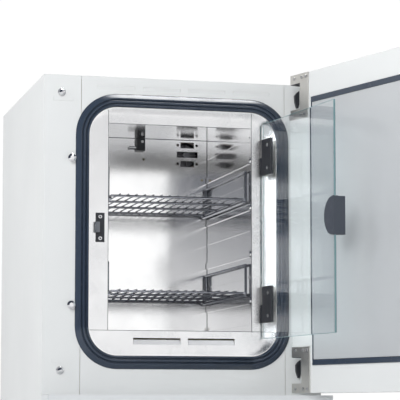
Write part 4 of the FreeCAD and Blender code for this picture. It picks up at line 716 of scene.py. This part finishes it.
# Glass door: one clear toughened pane with ground edges, gripped by black clamp plates at the hinges and
# by a pair of half discs with an upright grip at the free edge.
clear_glass = bpy.data.materials.new("clear_glass")
clear_glass.use_nodes = True
tree = clear_glass.node_tree
pane = tree.nodes["Principled BSDF"]
pane.inputs["Transmission Weight"].default_value = 1.0
pane.inputs["IOR"].default_value = 1.5
smears = tree.nodes.new("ShaderNodeGroup")
smears.node_tree = grain_group
smears.inputs["Grain Scale"].default_value = 40.0
smears.inputs["Cloud Scale"].default_value = 7.0
haze = rescale(tree, smears.outputs["Cloud"], (0.45, 0.75), (0.0, 0.05))
tree.links.new(haze, pane.inputs["Roughness"])
tint = blend_colour(tree, smears.outputs["Cloud"], (0.945, 0.962, 0.970), (0.925, 0.948, 0.960))
tree.links.new(tint, pane.inputs["Base Color"])
clear = tree.nodes.new("ShaderNodeBsdfTransparent")
clear.inputs["Color"].default_value = (0.90, 0.94, 0.94, 1)
ray = tree.nodes.new("ShaderNodeLightPath")
through = tree.nodes.new("ShaderNodeMixShader")
tree.links.new(ray.outputs["Is Shadow Ray"], through.inputs["Fac"])
tree.links.new(pane.outputs[0], through.inputs[1])
tree.links.new(clear.outputs[0], through.inputs[2])
tree.links.new(through.outputs[0], tree.nodes["Material Output"].inputs["Surface"])
dress(clear_glass, "glass_pane")
dress(matt_black, "glass_hinge_clamps", "latch_roller", "glass_latch_plate")
dress(lever_plastic, "glass_handle")

ground_edge = make_finish(
    "ground_glass_edge", (0.20, 0.34, 0.36), (0.14, 0.27, 0.29), (0.25, 0.4), (0.2, 0.0002),
    grain_scale=900.0, cloud_scale=50.0, wear=0.0, dust=0.0)
pin = Vector((0.220, -0.320, 0))
swung = Matrix.Translation(pin) @ Matrix.Rotation(math.radians(97), 4, "Z") @ Matrix.Translation(-pin)
left, right, bottom, top = -0.213, 0.214, 0.418, 0.986
pane_thick, pane_middle, band, grow = 0.005, -0.3225, 0.0006, 0.00015
edges = bmesh.new()
for x0, x1, z0, z1 in ((left, right, top - band, top), (left, right, bottom, bottom + band),
                       (left, left + band, bottom, top), (right - band, right, bottom, top)):
    centre = Vector(((x0 + x1) / 2, pane_middle, (z0 + z1) / 2))
    add_block(edges, centre, (x1 - x0 + 2 * grow, pane_thick - 0.0012, z1 - z0 + 2 * grow), swung)
round_over(edges, list(edges.edges), 0.0002, 1)
add_piece("ground_edges", edges, ground_edge, "glass_door")

screws = bmesh.new()
outward = swung.to_3x3() @ Vector((0, -1, 0))
for z in (0.8965, 0.5075):
    for up in (-0.030, 0.030):
        add_screw(screws, swung @ Vector((0.178, -0.328, z + up)), outward, 0.0048, 0.0018)
        add_screw(screws, swung @ Vector((0.178, -0.317, z + up)), -outward, 0.0048, 0.0018)
add_piece("clamp_screws", screws, plated, "glass_door")


# Glass catch: a black plate on the left flange strip with two bright ring-headed screws, and a bent cover
# round the sprung roller that the pane's edge snaps past.
low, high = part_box("glass_latch_plate")
middle = (low.z + high.z) / 2
cover = bmesh.new()
add_block(cover, (-0.2240, -0.3185, middle), (0.0130, 0.0128, 0.0270))
upright = [e for e in cover.edges
           if abs(e.verts[0].co.z - e.verts[1].co.z) > 0.01 and e.verts[0].co.x < -0.225]
round_over(cover, upright, 0.0045, 6)
side = [f for f in cover.faces if f.normal.x > 0.9]
bmesh.ops.inset_region(cover, faces=side, thickness=0.0016, use_even_offset=True)
# The pocket is deep enough for the roller when it is pressed right in.
push(cover, bmesh.ops.extrude_face_region(cover, geom=side)["geom"], (-0.0115, 0, 0))
bmesh.ops.delete(cover, geom=side, context="FACES")
catch_cover = make_finish(
    "catch_cover", (0.20, 0.21, 0.23), (0.15, 0.16, 0.18), (0.22, 0.36), (0.12, 0.0002),
    grain_scale=700.0, cloud_scale=50.0, metallic=0.6, worn=(0.4, 0.4, 0.4), wear=0.6, dust=0.05)
add_piece("catch_cover", cover, catch_cover, "cabinet")
rings = bmesh.new()
ring_profile = ((0.0018, 0.0), (0.0020, 0.0005), (0.0030, 0.0009), (0.0046, 0.0008), (0.0052, 0.0))
for up in (-0.028, 0.028):
    ring = [rings.verts.new((-0.2145 + reach, -0.3148 - rise, middle + up)) for reach, rise in ring_profile]
    outline = [rings.edges.new((ring[at], ring[(at + 1) % len(ring)])) for at in range(len(ring))]
    bmesh.ops.spin(rings, geom=ring + outline, cent=(-0.2145, 0, middle + up), axis=(0, 1, 0),
                   angle=math.radians(360), steps=24, use_merge=True, use_duplicate=False)
bright = make_finish(
    "bright_ring", (0.86, 0.86, 0.87), (0.78, 0.78, 0.80), (0.10, 0.22), (0.05, 0.0001),
    grain_scale=700.0, cloud_scale=60.0, metallic=1.0, wear=0.2, dust=0.0)
add_piece("catch_screw_rings", rings, bright, "cabinet")
